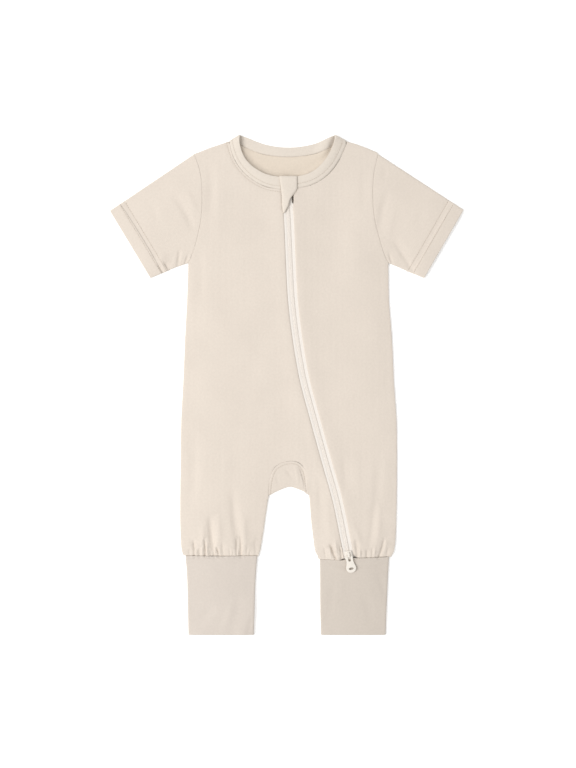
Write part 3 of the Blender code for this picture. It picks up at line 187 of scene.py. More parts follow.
# Creases: a soft trough (height < 0) or ridge (height > 0) from (x1, y1) to (x2, y2).
# bow is how far it swings out at its middle; start and end are the shares of the height
# left at its ends.
CREASES = table(
    "x1 y1 x2 y2 bow half_width height start end",
    # gathers over the right cuff
    (-105.9, -178, -106.5, -188, 0, 1.5, -0.8, 0, 0.9),
    (-101.7, -168, -100.7, -188, 0.4, 1.9, -2, 0, 1),
    (-98.3, -179, -98.1, -188, 0, 1.2, 0.6, 0, 1),
    (-95, -177, -94.6, -188, -0.3, 1.8, -1, 0, 1),
    (-91.8, -176, -91.8, -188, 0, 1.2, 0.6, 0, 1),
    (-90, -166, -88.8, -188, 0.5, 1.7, -2.3, 0, 1),
    (-86.6, -172, -86.2, -188, 0, 1.3, 0.9, 0, 1),
    (-83.6, -142, -78.4, -188, -1.4, 3.8, -2.3, 0, 0.8),
    (-83, -179, -82.8, -188, 0, 1.2, -0.8, 0, 1),
    (-78, -174, -77.6, -188, 0, 1.2, 1, 0, 1),
    (-76.4, -176, -74.3, -188, 0.4, 1.5, -2.6, 0, 1),
    (-73, -178, -72.2, -188, 0, 1.4, 0.4, 0, 1),
    (-69.4, -170, -68.8, -188, -0.6, 1.9, -0.7, 0, 0.9),
    (-62.7, -176, -61.5, -188, 0, 1.5, -0.7, 0, 1),
    (-58.7, -180, -58.5, -188, 0, 1.1, -0.4, 0, 1),
    (-59.8, -112, -50.2, -186, -1.8, 4.8, -1.8, 0, 0.6),
    (-54.7, -168, -54.3, -188, -0.3, 1.6, -1, 0, 1),
    (-52.9, -178, -53, -188, 0, 1.1, 0.5, 0, 1),
    (-50.4, -162, -50.1, -188, 0.3, 1.8, -2, 0, 0.9),
    (-47.8, -178, -48.2, -188, 0, 1.4, 0.5, 0, 1),
    (-43.6, -174, -44, -188, 0.3, 1.7, -0.7, 0, 0.9),
    (-40.4, -180, -40.6, -188, 0, 1.4, -0.4, 0, 0.9),
    (-35.5, -168, -34.3, -188, 0.6, 2, -0.5, 0, 0.9),
    (-91.3, -150, -91.7, -180, 0.6, 3.4, 0.7, 0, 0.5),
    (-74.7, -140, -74.7, -178, 1.2, 4.2, 0.9, 0, 0.4),
    (-45.7, -140, -44.9, -178, -0.8, 4.2, 0.8, 0, 0.4),
    # gathers over the left cuff
    (40.9, -176, 42.3, -188, 0, 1.6, -0.8, 0, 0.9),
    (47.4, -173, 53.2, -190, -0.3, 1.8, -2.8, 0, 1),
    (46.4, -178, 48.6, -189, 0, 1.3, 0.5, 0, 0.9),
    (52.6, -168, 55.8, -189, -0.3, 1.5, 0.8, 0, 0.8),
    (57.3, -164, 59.3, -190, 0.2, 2.1, -2.6, 0, 1),
    (74.6, -168, 76.4, -188.6, 0.4, 2.4, -1.6, 0, 1),
    (79.6, -178, 79.8, -188.6, 0, 1.3, 0.6, 0, 0.9),
    (82, -180, 82, -188.6, 0, 1.3, -0.7, 0, 0.9),
    (94, -128, 88, -186, 1.2, 3.6, -0.7, 0, 0.6),
    (87, -179, 87, -188.6, 0, 1.4, -0.8, 0, 1),
    (93, -176, 92.6, -188.6, 0, 1.4, -0.8, 0, 1),
    (96.3, -176, 95.5, -188.6, 0, 1.2, 0.6, 0, 1),
    (106.5, -165, 99.7, -188.6, 0.8, 2, -1.8, 0, 1),
    (109.3, -170, 104.3, -188.6, 0.4, 1.6, 0.2, 0, 0.9),
    (110.7, -176, 108.3, -188.6, 0, 1.5, -0.8, 0, 0.9),
    (101.5, -130, 97.5, -180, 1, 4.2, 0.7, 0, 0.3),
    (72, -150, 83.6, -180, 0, 3.6, 0.5, 0, 0.3),
    (43.7, -120, 49.1, -172, -1, 4.6, 0.5, 0, 0.3),
    # body and legs
    (-100.6, -50, -104.2, -134, 1.5, 8, -0.7, 0, 0),
    (-109, -40, -110.6, -140, -0.5, 4.5, 0.3, 0, 0),
    (-95.5, 152, -94.4, 88, 1.5, 7, -0.6, 0, 0),
    (-102.5, 128, -101.6, 40, -1, 5, 0.35, 0, 0),
    (-83, 242, -84.6, 180, 2, 8.5, -0.9, 0, 0),
    (-73, 222, -74, 150, -1, 9, 0.35, 0, 0),
    (52, 252, 52, 104, 1, 26, -1.5, 0, 0),
    (84, 236, 86, 186, -1, 7, -0.4, 0, 0),
    (61.4, -78, 63.6, -118, 1, 6, -0.7, 0, 0),
    (74, -60, 77, -140, 1, 8, 0.4, 0, 0),
    (99.4, -76, 94.4, -146, 1.8, 6.5, -0.7, 0, 0),
    (109.6, -60, 110.4, -150, 0, 5, 0.3, 0, 0),
    (36, -100, 38.6, -166, -1, 4.6, -0.6, 0, 0),
    (30, -96, 31.2, -140, 0, 3.4, 0.3, 0, 0),
    (-24, 60, -58, -30, 4, 15, -0.3, 0, 0),
    (18, -26, 26, -78, -1.5, 7, -0.35, 0, 0),
    (-66, -60, -70, -120, 2, 9, 0.35, 0, 0),
    # right sleeve
    (-124, 208, -101, 168, 2, 6.5, -0.9, 0, 0.1),
    (-112, 214, -98, 186, 1, 5, 0.5, 0, 0.1),
    (-139, 142, -131, 124, 0, 9, 1.2, 0, 0.9),
    (-139.6, 129.5, -134.4, 121.5, 0, 1.7, -2.2, 0.3, 1),
    (-137.4, 132, -132, 123, 0, 1.1, 0.5, 0, 1),
    (-134, 134, -128.6, 124.5, 0.3, 2, -2, 0.2, 1),
    (-121, 139, -124.4, 126, 0.4, 2.4, 0.5, 0, 0.6),
    (-116.6, 148, -119, 129, 0, 2.4, -0.9, 0, 0.7),
    (-107.4, 141, -110.8, 132.6, 0, 2, -1.1, 0, 1),
    (-148, 196, -140, 176, 1, 6, -0.35, 0, 0),
    # left sleeve
    (111.4, 214, 100.6, 164, -2, 6.5, -0.8, 0, 0.1),
    (120, 200, 110, 158, -1, 6, 0.4, 0, 0),
    (114, 160, 138.4, 120.4, 1.6, 5, -1, 0, 0.7),
    (121.6, 152, 143.6, 119, 1, 3.4, 0.5, 0, 0.4),
    (111, 144, 114.6, 131.6, 0, 2.2, -0.8, 0, 1),
    (108.4, 238, 105, 222, 0, 4, -0.5, 0, 0),
    (150, 196, 142, 170, 0, 7, -0.3, 0, 0),
    # gusset
    (13.5, -88.5, 19.2, -112, 2.4, 2.8, -1.6, 0.2, 0.8),
    (-4, -90, 8, -104, 1, 3.4, -0.5, 0, 0),
    (8.4, -88, 13, -108, 0.8, 2.8, 0.5, 0, 0.2),
    (-11, -98, -6.6, -114, -0.6, 2.8, -0.4, 0, 0.3),
    # cuffs
    (-32, -226, -48, -271, 2, 17, 1.9, 0.1, 0.8),
    (-58, -232, -70, -268, 1.5, 6, 0.5, 0, 0.5),
    (-78, -240, -100, -262, 1, 8, -0.5, 0, 0),
    (-36.6, -250, -43, -271, 0, 3.4, -0.6, 0, 0.5),
    (46, -195, 104, -197.6, -3.4, 3.2, -0.8, 0, 0.3),
    (50, -200.6, 100, -203.6, -2.6, 3, 0.5, 0, 0.2),
    (98, -204, 108, -232, 1, 4.6, -0.4, 0, 0),
    (50, -214, 44, -262, 1, 7, -0.35, 0, 0),
    (84, -222, 92, -268, 1, 8, -0.35, 0, 0),
)

# Shallow waves of the laid cloth, in millimetres
WAVES = table("length height seed", (46.0, 0.30, 3.0), (19.0, 0.13, 11.0), (8.0, 0.05, 23.0))

# A tape's section from under the coil outwards: a low strip, a raised woven cord, then flat
# below the panel and back; distances from the zip's middle, and heights
TAPE_SHAPE = ((1.0, 0.3), (1.1, 0.6), (1.9, 0.72), (2.3, 0.8), (2.8, 0.92), (3.4, 1.06),
              (4.0, 1.1), (4.5, 1.1), (4.9, 1.06), (5.2, 1.04), (6.0, 1.0), (6.9, 0.96),
              (7.0, 0.5), (6.9, 0.05), (4.0, 0.0), (1.1, 0.05))
TAPE_REACH = 7.0                # how far a tape reaches out,
TAPE_UNDER_BAND = (208.0, 5.1)  # above this y,
TAPE_AT_SLIT = (196.5, 4.9)     # and the left one above this y, so that the slit is open

# One turn of the coil, outwards over the tape's edge, and one stitch for a reach of 1
COIL_TURN = ((1.95, -0.1), (1.85, 0.16), (1.4, 0.34), (0.6, 0.36), (-0.3, 0.22))
STITCH = ((-1, -0.12), (-0.7, 0.06), (0, 0.14), (0.7, 0.06), (1, -0.12))


def linear(code):
    """Return the linear colour of an sRGB hex code."""
    values = [int(code[k:k + 2], 16) / 255 for k in (1, 3, 5)]
    return tuple(v / 12.92 if v <= 0.04045 else ((v + 0.055) / 1.055) ** 2.4 for v in values)


# ---------------------------------------------------------------- settings

def length(name, description, default, **limits):
    """Return a setting for a length in metres."""
    return FloatProperty(name=name, description=description, default=default, unit="LENGTH",
                         **limits)


def colour(name, description, code):
    """Return a setting for a colour given as an sRGB hex code."""
    return FloatVectorProperty(name=name, description=description, default=linear(code), size=3,
                               subtype="COLOR")


class RomperCloth(bpy.types.PropertyGroup):
    """Sizes and colours of the knit cloth"""
    jersey_wall: length("Jersey wall", "Thickness of a panel of jersey", 0.001, min=0.0005)
    cuff_wall: length("Cuff wall", "Thickness of the doubled interlock", 0.0014, min=0.0005)
    flap_wall: length("Garage wall", "Thickness of the folded zip garage", 0.0018, min=0.0005)
    spacing: length("Mesh spacing", "Distance between mesh points on plain cloth", 0.0032,
                    min=0.002)
    edge_roll: length("Edge roll", "Width over which an edge rounds down", 0.0012)
    crease_strength: FloatProperty(
        name="Crease strength", description="Share of the creases' full height",
        default=1.0, min=0.0, max=1.5, subtype="FACTOR")
    wale: length("Wale width", "Width of one column of knit stitches", 0.0013)
    course: length("Course height", "Height of one row of knit stitches", 0.001)
    jersey: colour("Jersey", "Colour of body, sleeves and gusset", "#d8cdc1")
    inside: colour("Wrong side", "Colour of the back's inside, seen through the neck", "#d9ccbc")
    band: colour("Neckband", "Colour of the neckband and the zip garage", "#d8cec2")
    # painted shade: both cuffs are one interlock; the left cuff's darker colour stands for its
    # lying further from the light on the left
    cuff_right: colour("Right cuff", "Colour of the right leg's cuff", "#cfc5bb")
    cuff_left: colour("Left cuff", "Colour of the left leg's cuff", "#cac0b5")


class RomperStitching(bpy.types.PropertyGroup):
    """Sizes and colour of the sewing"""
    pitch: length("Stitch pitch", "Distance from one stitch to the next", 0.0026)
    thread: length("Thread", "Diameter of the sewing thread", 0.00038)
    groove_width: length("Groove width", "Half width of the groove that a row presses in", 0.001)
    # painted shade: the real thread is drawn darker than the cloth, standing in for the shadow in
    # the stitch grooves
    colour: colour("Thread colour", "Colour of the polyester thread", "#c8bdb0")


class RomperZip(bpy.types.PropertyGroup):
    """Sizes and colours of the zip"""
    tooth_pitch: length("Tooth pitch", "Distance from one coil turn to the next", 0.0013)
    wire: length("Coil wire", "Thickness of the nylon coil's wire", 0.0009)
    tape: colour("Tape", "Colour of the woven zip tape", "#e8e1d9")
    coil: colour("Coil", "Colour of the nylon coil", "#e9e1d8")
    metal: colour("Slider", "Colour of the lacquer on slider and tab", "#e6dfd5")


class RomperStage(bpy.types.PropertyGroup):
    """Floor, lights and camera"""
    frame_height: length("Frame height", "Height of the photographed field at the cloth", 0.8364)
    centre_x: length("Centre across", "Where the camera stands across the garment", 0.0014)
    centre_y: length("Centre along", "Where the camera stands along the garment", 0.0008)
    lens: FloatProperty(name="Lens", description="Focal length in millimetres", default=85.0)
    key_power: FloatProperty(
        name="Key light", description="Power of the soft light from the left, in watts",
        default=63.0)
    fill: FloatProperty(
        name="Fill", description="Strength of the even light from all round", default=0.76)
    floor: colour("Floor", "Colour of the floor", "#fbfbfb")


def cloth(name):
    """Return one of the cloth's lengths in millimetres."""
    return getattr(bpy.context.scene.romper_cloth, name) / MM


def sewing(name):
    """Return one of the sewing's lengths in millimetres."""
    return getattr(bpy.context.scene.romper_stitching, name) / MM


# ---------------------------------------------------------------- plan geometry

def clamp(values):
    """Return values kept between 0 and 1."""
    return np.clip(values, 0, 1)


def dome(share):
    """Return a rounded bump's height: 1 in the middle and 0 from a share of 1."""
    return 0.5 + 0.5 * np.cos(math.pi * clamp(share))


def cross(a, b):
    """Return the plan area between two directions, above 0 for a turn to the left."""
    return a[0] * b[1] - a[1] * b[0]


def unit(direction):
    """Return a direction with a length of 1."""
    return direction / np.linalg.norm(direction)


def path_length(path):
    """Return the distance along a path at each of its points."""
    return np.concatenate([[0.0], np.cumsum(np.linalg.norm(np.diff(path, axis=0), axis=1))])


def at_lengths(path, lengths):
    """Return the points at given distances along a path."""
    along = path_length(path)
    return np.column_stack([np.interp(lengths, along, column) for column in path.T])


def spread(path, count):
    """Return a number of points spread evenly along a path."""
    return at_lengths(path, np.linspace(0, path_length(path)[-1], count))


def resample(path, step):
    """Return points spread evenly along a path, about step apart."""
    return spread(path, max(int(round(path_length(path)[-1] / step)), 1) + 1)


def refined(path, step):
    """Return a path with its long pieces split, and every corner kept."""
    points = [path[:1]]
    for start, end in zip(path[:-1], path[1:]):
        count = max(int(math.ceil(np.linalg.norm(end - start) / step)), 1)
        points.append(start + (end - start) * np.arange(1, count + 1)[:, None] / count)
    return np.vstack(points)


def left_of(path, ring=False):
    """Return the unit vectors to the left of a path or ring at each of its points."""
    if ring:
        ahead = np.roll(path, -1, axis=0) - np.roll(path, 1, axis=0)
    else:
        ahead = np.gradient(path, axis=0)
    left = np.column_stack([-ahead[:, 1], ahead[:, 0]])
    return left / np.linalg.norm(left, axis=1)[:, None]


def shifted(path, distance):
    """Return an open plan path moved to its left for a positive distance."""
    return path + distance * left_of(path)


def smoothed_path(path, rounds):
    """Return an open path with its small corners averaged out."""
    path = path.copy()
    for _ in range(rounds):
        path[1:-1] = 0.25 * path[:-2] + 0.5 * path[1:-1] + 0.25 * path[2:]
    return path


def closed(outline):
    """Return an outline with its first point repeated at the end."""
    return np.vstack([outline, outline[:1]])


def box_near(path, points, reach):
    """Return which points are within reach of the box round a path."""
    low, high = path.min(axis=0) - reach, path.max(axis=0) + reach
    return np.all((points > low) & (points < high), axis=1)


def distance_to(path, points):
    """Return each point's distance to a path."""
    start, span = path[:-1], np.diff(path, axis=0)
    length2 = np.maximum((span ** 2).sum(axis=1), 1e-9)
    found = []
    for block in np.array_split(points, max(len(points) * len(span) // 2_000_000, 1)):
        rel = block[:, None, :] - start[None]
        share = clamp((rel * span[None]).sum(axis=2) / length2)
        nearest = rel - share[:, :, None] * span[None]
        found.append(np.sqrt((nearest ** 2).sum(axis=2)).min(axis=1))
    return np.concatenate(found)


def inside(outline, points):
    """Return which plan points lie inside a closed outline."""
    x, y = points.T
    result = np.zeros(len(points), dtype=bool)
    for (x1, y1), (x2, y2) in zip(outline, np.roll(outline, -1, axis=0)):
        if y1 != y2:
            crosses = (y1 > y) != (y2 > y)
            result ^= crosses & (x < (x2 - x1) * (y - y1) / (y2 - y1) + x1)
    return result


def spread_out(groups):
    """Return points of all groups in turn, leaving out those too near to one kept before."""
    kept, cells, cell = [], {}, 4.0
    for points, spacing in groups:
        reach = int(math.ceil(spacing / cell))
        for x, y in points:
            column, row = int(x // cell), int(y // cell)
            near = (other for a in range(column - reach, column + reach + 1)
                    for b in range(row - reach, row + reach + 1)
                    for other in cells.get((a, b), ()))
            if all((x - u) ** 2 + (y - v) ** 2 > spacing ** 2 for u, v in near):
                cells.setdefault((column, row), []).append((x, y))
                kept.append((x, y))
    return kept


def rows_beside(path, offsets, step):
    """Return mesh points in rows beside a path."""
    path = resample(path, step)
    return np.vstack([shifted(path, offset) for offset in offsets])


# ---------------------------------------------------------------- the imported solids

def merged(name):
    """Return a solid's mesh with its loose corners joined, in millimetres."""
    bm = bmesh.new()
    bm.from_mesh(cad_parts[name].data)
    bmesh.ops.remove_doubles(bm, verts=bm.verts, dist=MERGE)
    bmesh.ops.scale(bm, vec=Vector((1, 1, 1)) / MM, verts=bm.verts)
    bm.normal_update()
    return bm


def upper_rim(name):
    """Return the corners round a panel's upper face, counter-clockwise, as x, y."""
    bm = merged(name)
    following = {}
    for face in bm.faces:
        if face.normal.z > FACING_UP:
            for loop in face.loops:
                if loop.link_loop_radial_next.face.normal.z <= FACING_UP:
                    following[loop.vert.index] = loop.link_loop_next.vert.index
    start = next(iter(following))
    order = [start]
    while following[order[-1]] != start:
        order.append(following[order[-1]])
    bm.verts.ensure_lookup_table()
    rim = np.array([bm.verts[k].co[:2] for k in order])
    bm.free()
    return rim


def surface_tree(name):
    """Return a search tree over a solid's surface, in millimetres."""
    bm = merged(name)
    tree = BVHTree.FromBMesh(bm)
    bm.free()
    return tree


def heights(tree, points):
    """Return how high a surface stands at plan points, seen from above."""
    found = []
    for x, y in points:
        hit = tree.ray_cast((x, y, ABOVE), (0, 0, -1))[0]
        found.append((hit or tree.find_nearest((x, y, 0.5 * ABOVE))[0]).z)
    return np.array(found)


def read_stretches():
    """Return each named stretch of the panels' rims as a path."""
    rims = {name: upper_rim(name) for name in {row.node for row in STRETCHES}}
    paths = {}
    for row in STRETCHES:
        rim = rims[row.node]
        first, last = (int(np.argmin(np.hypot(*(rim - corner).T)))
                       for corner in (row.start, row.end))
        paths[row.name] = np.roll(rim, -first, axis=0)[:(last - first) % len(rim) + 1]
    return paths


EDGE = read_stretches()
# the zip's middle line, from the neck to the cuff
ZIP_LINE = smoothed_path(shifted(resample(EDGE["zip_right"][::-1], 4.0), HALF_STRIP), 2)


def along_zip(node, step, top, bottom):
    """Return the zip's line within a solid, ending short of it by top and bottom."""
    low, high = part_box(node)
    line = resample(ZIP_LINE, step)
    return line[(line[:, 1] < high.y / MM - top) & (line[:, 1] > low.y / MM + bottom)]


def in_back_neck(points, half):
    """Return which plan points belong to the back's neck edge."""
    return (points[:, 1] > BACK_NECK_Y) & (np.abs(points[:, 0]) < half)


def sleeve_seam(side):
    """Return the sleeve's edge along the armhole, from the shoulder to the underarm."""
    seam = EDGE["armhole_" + side]
    seam, left = (seam, -0.15) if side == "right" else (seam[::-1], 0.15)
    return shifted(resample(seam, 3.0), left)


def sleeve_hem(side):
    """Return the two corners of a sleeve's hem, at the top and below."""
    bm = merged("sleeve_" + side)
    plan = np.array([vert.co[:2] for vert in bm.verts])
    bm.free()
    outward = -plan[:, 0] if side == "right" else plan[:, 0]
    return plan[outward.argmax()], plan[plan[:, 1].argmin()]


def sewing_rows():
    """Return each visible row of stitching as a plan path with the depth it presses in."""
    rows = []
    for row in STITCH_ROWS:
        seam = smoothed_path(resample(EDGE[row.seam], 2.5), 3)
        rows.append((shifted(seam, row.beside), row.depth))
    for side in ("right", "left"):
        corners, seam = sleeve_hem(side), sleeve_seam(side)
        hem = unit(corners[1] - corners[0])
        edges = [seam[0] - corners[0], seam[-1] - corners[1]]
        for depth in HEM_ROWS:
            # from the hem's edge at right angles to it, whatever way the sleeve's edge leans
            ends = [corner + edge * depth / abs(cross(hem, edge))
                    for corner, edge in zip(corners, edges)]
            rows.append((np.array(ends), HEM_DEPTH))
    return rows


ROWS = sewing_rows()
FURROWS = [*ROWS, (np.array(GARAGE_FURROW[0]), GARAGE_FURROW[1])]


# ---------------------------------------------------------------- relief of the cloth

def crease_line(row):
    """Return a crease's line as a plan path, swung out by its bow."""
    share = np.linspace(0, 1, 9)[:, None]
    start, end = np.array([row.x1, row.y1]), np.array([row.x2, row.y2])
    side = np.array([start[1] - end[1], end[0] - start[0]]) / np.linalg.norm(end - start)
    return start + (end - start) * share + side * row.bow * np.sin(math.pi * share)


def crease_height(points):
    """Return the summed height of the creases at plan points."""
    total = np.zeros(len(points))
    for number, row in enumerate(CREASES):
        line = crease_line(row)
        near = box_near(line, points, row.half_width * 1.3 + CREASE_END_FADE)
        if not near.any():
            continue
        spots, span = points[near], line[-1] - line[0]
        run = np.linalg.norm(span)
        along = (spots - line[0]) @ span / run ** 2
        share = clamp(along)
        # an uneven hand: the width and the depth vary a little along each crease
        uneven = np.array([noise.noise((s * run / 17.0, number * 1.7, 0.5)) for s in share])
        width = row.half_width * (1 + 0.2 * uneven)
        if row.end > 0.5:
            # gathers draw together towards the seam that holds them
            width *= 1.2 - 0.4 * share
            if row.height < 0:
                # and lean over: steeper towards the wearer's right than towards the left
                right = (spots - line[0]) @ (span[1], -span[0]) * np.sign(span[1]) > 0
                width *= np.where(right, 1.5, 0.85)
        strength = np.maximum(row.start + (row.end - row.start) * share,
                              np.sin(math.pi * share) ** 0.8)
        past_end = np.maximum(-along, along - 1) * run
        strength *= (1 + 0.3 * uneven) * clamp(1 - past_end / CREASE_END_FADE)
        total[near] += row.height * strength * dome(distance_to(line, spots) / width)
    return total * bpy.context.scene.romper_cloth.crease_strength


def wave_height(points):
    """Return the height of the cloth's shallow waves at plan points."""
    return sum(np.array([row.height * noise.noise((x / row.length, y / row.length, row.seed))
                         for x, y in points]) for row in WAVES)


def seam_distance(points):
    """Return each point's distance to the nearest seam."""
    return np.min([distance_to(EDGE[row.name], points) for row in SEAMS], axis=0)


def furrow_depth(points):
    """Return how far seams and rows of stitching press into the cloth."""
    groove = sewing("groove_width")
    furrows = [(EDGE[row.name], row.width, row.depth) for row in SEAMS]
    furrows += [(path, groove, depth) for path, depth in FURROWS]
    deepest = np.zeros(len(points))
    for path, width, depth in furrows:
        near = box_near(path, points, width)
        if near.any():
            found = depth * dome(distance_to(path, points[near]) / width)
            deepest[near] = np.maximum(deepest[near], found)
    return deepest


def front_relief(points, base, side_top=SIDE_TOP):
    """Return the large and the fine relief of the front at plan points."""
    above_cuff = points[:, 1] - ZIP_LINE[-1, 1]
    ramp = np.interp(above_cuff, CALM_HEIGHTS, (1.0, ZIP_CALM))
    calm = clamp((distance_to(ZIP_LINE, points) - FLAT_BESIDE_ZIP) / ramp)
    calm = np.where(above_cuff > -ZIP_CALM, calm, 1)
    large = crease_height(points) + wave_height(points)
    return large * calm * clamp((base - side_top) / RELIEF_RISE), -furrow_depth(points)


def neck_climb(points):
    """Return how much the back climbs towards the front inside the neck."""
    x, y = points.T
    folds = np.array([noise.noise((u / 7.0 + v / 3.0, (v - u) / 26.0, 5.0)) for u, v in points])
    climb = np.zeros(len(points))
    for rows in NECK_INSIDE.values():
        edge, rise, width = (np.interp(y, rows[::-1, 1], rows[::-1, k]) for k in (0, 2, 3))
        inward = (edge - x) * np.sign(rows[0, 0]) > 0
        away = distance_to(rows[:, :2], points)
        share = 1 - clamp(away / np.where(inward, width, OUTER_SLOPE))
        climb = np.maximum(climb, rise * share ** 1.3 * (1 + 0.3 * folds))
    # the last edge is the left one, where the back humps up
    shape = SHOULDER_HUMP
    hump = np.interp(away * inward, (0, shape.near, shape.far), (0, 1, 0))
    hump *= hump * (3 - 2 * hump)
    return np.maximum(climb, shape.height * hump * clamp((y - shape.from_y) / shape.ramp))


# ---------------------------------------------------------------- meshes

def add_object(name, data):
    """Return a new object in the scene."""
    added = bpy.data.objects.new(name, data)
    bpy.context.scene.collection.objects.link(added)
    return added


def object_from(bm, name, scale=MM):
    """Return a new object from an edited mesh, scaled to metres, and free that mesh."""
    bmesh.ops.scale(bm, vec=Vector((scale, scale, scale)), verts=bm.verts)
    mesh = bpy.data.meshes.new(name)
    bm.to_mesh(mesh)
    bm.free()
    return add_object(name, mesh)


def set_grain(mesh, grain):
    """Store the knit's directions, in millimetres, at every corner of a mesh."""
    layer = mesh.uv_layers.new(name="grain")
    corner = np.zeros(len(mesh.loops), dtype=int)
    mesh.loops.foreach_get("vertex_index", corner)
    layer.data.foreach_set("uv", (np.array(grain) * MM)[corner].ravel())


def new_piece(name, points, faces, grain=None):
    """Return a new object from points in millimetres, faces and knit directions."""
    mesh = bpy.data.meshes.new(name)
    mesh.from_pydata((np.array(points) * MM).tolist(), [], faces)
    mesh.validate()
    mesh.shade_smooth()
    if grain is not None:
        set_grain(mesh, grain)
    return add_object(name, mesh)


def mesh_of(thing):
    """Return a new mesh of an object with its modifiers."""
    graph = bpy.context.evaluated_depsgraph_get()
    graph.update()
    return bpy.data.meshes.new_from_object(thing.evaluated_get(graph))


def apply_modifiers(piece):
    """Turn a piece with modifiers into a plain mesh with smooth faces and sharp cuts."""
    mesh, old = mesh_of(piece), piece.data
    piece.modifiers.clear()
    piece.data = mesh
    bpy.data.meshes.remove(old)
    mesh.name = piece.name
    mesh.shade_smooth()
    mesh.set_sharp_from_angle(angle=CUT_EDGE)


def corners(piece):
    """Return a piece's points in millimetres."""
    return np.array([vert.co for vert in piece.data.vertices]) / MM


def move_corners(piece, points):
    """Put a piece's points at places in millimetres."""
    piece.data.vertices.foreach_set("co", (points * MM).ravel())
    piece.data.update()


def dress(piece, material, node, body="garment", replaced=True):
    """Give a piece its material, body and slot, and let it stand for its solid."""
    piece.data.materials.clear()
    piece.data.materials.append(material)
    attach(piece, body)
    if replaced:
        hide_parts(node)
    return piece


def loft(name, rings, grain=None, capped=True):
    """Return a closed piece over rings of points; without caps the last ring joins the first."""
    rows, count = len(rings), len(rings[0])
    faces = []
    for row in range(rows - capped):
        a, b = row * count, (row + 1) % rows * count
        for k in range(count):
            after = (k + 1) % count
            faces.append((a + k, a + after, b + after, b + k))
    if capped:
        faces += [tuple(range(count))[::-1], tuple(range((rows - 1) * count, rows * count))]
    piece = new_piece(name, np.vstack(rings), faces, grain)
    bm = bmesh.new()
    bm.from_mesh(piece.data)
    bmesh.ops.recalc_face_normals(bm, faces=bm.faces)
    if bm.calc_volume(signed=True) < 0:
        bmesh.ops.reverse_faces(bm, faces=bm.faces)
    bm.to_mesh(piece.data)
    bm.free()
    return piece


def rolled(distance, width, depth):
    """Return how far a rounded edge has dropped at a distance from it."""
    return depth * (1 - np.sqrt(1 - (1 - clamp(distance / width)) ** 2))


def filled(outline, spacing, features):
    """Return the points and triangles that fill a plan outline."""
    rim, inward = closed(outline), left_of(outline, ring=True)
    groups = []
    for depth in INSET_ROWS:
        row = outline + depth * inward
        row = row[inside(outline, row)]
        groups.append((row[distance_to(rim, row) > 0.85 * depth], 0.22 if depth < 1 else 0.5))
    low, high = outline.min(axis=0), outline.max(axis=0)
    grid = []
    for number, y in enumerate(np.arange(low[1], high[1], 0.866 * spacing)):
        start = low[0] + 0.5 * spacing * (number % 2)
        grid += [(x, y) for x in np.arange(start, high[0], spacing)]
    for points, clearance, apart in ((features, 0.7, 0.5), (np.array(grid), 2.6, 0.62 * spacing)):
        if len(points):
            points = points[inside(outline, points)]
            groups.append((points[distance_to(rim, points) > clearance], apart))
    points = [Vector(point) for point in (*outline, *spread_out(groups))]
    count = len(outline)
    ring = [(k, (k + 1) % count) for k in range(count)]
    plan, _, triangles, _, _, _ = delaunay_2d_cdt(points, ring, [list(range(count))], 1, 1e-5)
    plan, triangles = np.array([tuple(p) for p in plan]), np.array([tuple(t) for t in triangles])
    a, b, c = (plan[triangles[:, k]] for k in range(3))
    clockwise = cross((b - a).T, (c - a).T) < 0
    triangles[clockwise] = triangles[clockwise][:, ::-1]
    return plan, triangles


def smoothed(values, triangles, rounds, fixed):
    """Return values averaged with their neighbours' over a triangle mesh."""
    ends = np.vstack([triangles[:, [0, 1]], triangles[:, [1, 2]], triangles[:, [2, 0]]])
    ends = np.vstack([ends, ends[:, ::-1]])
    count = np.bincount(ends[:, 0], minlength=len(values))
    for _ in range(rounds):
        around = np.bincount(ends[:, 0], weights=values[ends[:, 1]], minlength=len(values))
        values = np.where(fixed, values, 0.5 * values + 0.5 * around / np.maximum(count, 1))
    return values


def shell(name, plan, triangles, top, bottom):
    """Return a closed cloth shell between two height fields."""
    count = len(plan)
    points = np.vstack([np.column_stack([plan, top]), np.column_stack([plan, bottom])])
    faces = triangles.tolist()
    sides = {(t[k], t[(k + 1) % 3]) for t in faces for k in range(3)}
    faces += (triangles[:, ::-1] + count).tolist()
    faces += [(b, a, a + count, b + count) for a, b in sorted(sides) if (b, a) not in sides]
    return new_piece(name, points, faces, np.vstack([plan, plan]))


def outline_of(name):
    """Return a panel's outline for its cloth, a little closer to the seams."""
    outline = refined(closed(upper_rim(name)), cloth("spacing"))[:-1]
    at_seam = seam_distance(outline) < 0.8
    under_band = (name == "back_panel") & in_back_neck(outline, BACK_NECK_HALF) & ~at_seam
    out = CLOSER * at_seam + UNDER_BAND * under_band
    outline -= left_of(outline, ring=True) * out[:, None]
    if name == "front_left_panel":
        # beside the garage the front's edge lies a little away from the zip
        slit, start, ramp = SLIT
        at_zip = distance_to(ZIP_LINE, outline) < 7.0
        outline[at_zip, 0] += slit * clamp((outline[at_zip, 1] - start) / ramp)
    high, wide = ZIP_NOTCH
    for row, up in GATHERED_UP.items():
        near = distance_to(EDGE[row], outline) < 0.8
        outline[near, 1] += up
        if name != "back_panel" and row != "cuff_right":
            to_zip = np.abs(outline[near, 0] - ZIP_LINE[-1, 0]) - HALF_STRIP
            outline[near, 1] += high * (1 - clamp(to_zip / wide)) ** 2
    return outline


def edge_drop(points, distance, wall):
    """Return how far a panel's edge rounds down: little at seams, softly beside the zip."""
    at_zip = distance_to(ZIP_LINE, points) - HALF_STRIP < distance + 0.4
    at_seam = seam_distance(points) < distance + 0.4
    width = np.select([at_zip, at_seam], [ZIP_ROLL[0], SEAM_ROLL[0]], cloth("edge_roll"))
    depth = np.select([at_zip, at_seam], [ZIP_ROLL[1], SEAM_ROLL[1]], FREE_DROP)
    return rolled(distance, width, depth * wall)


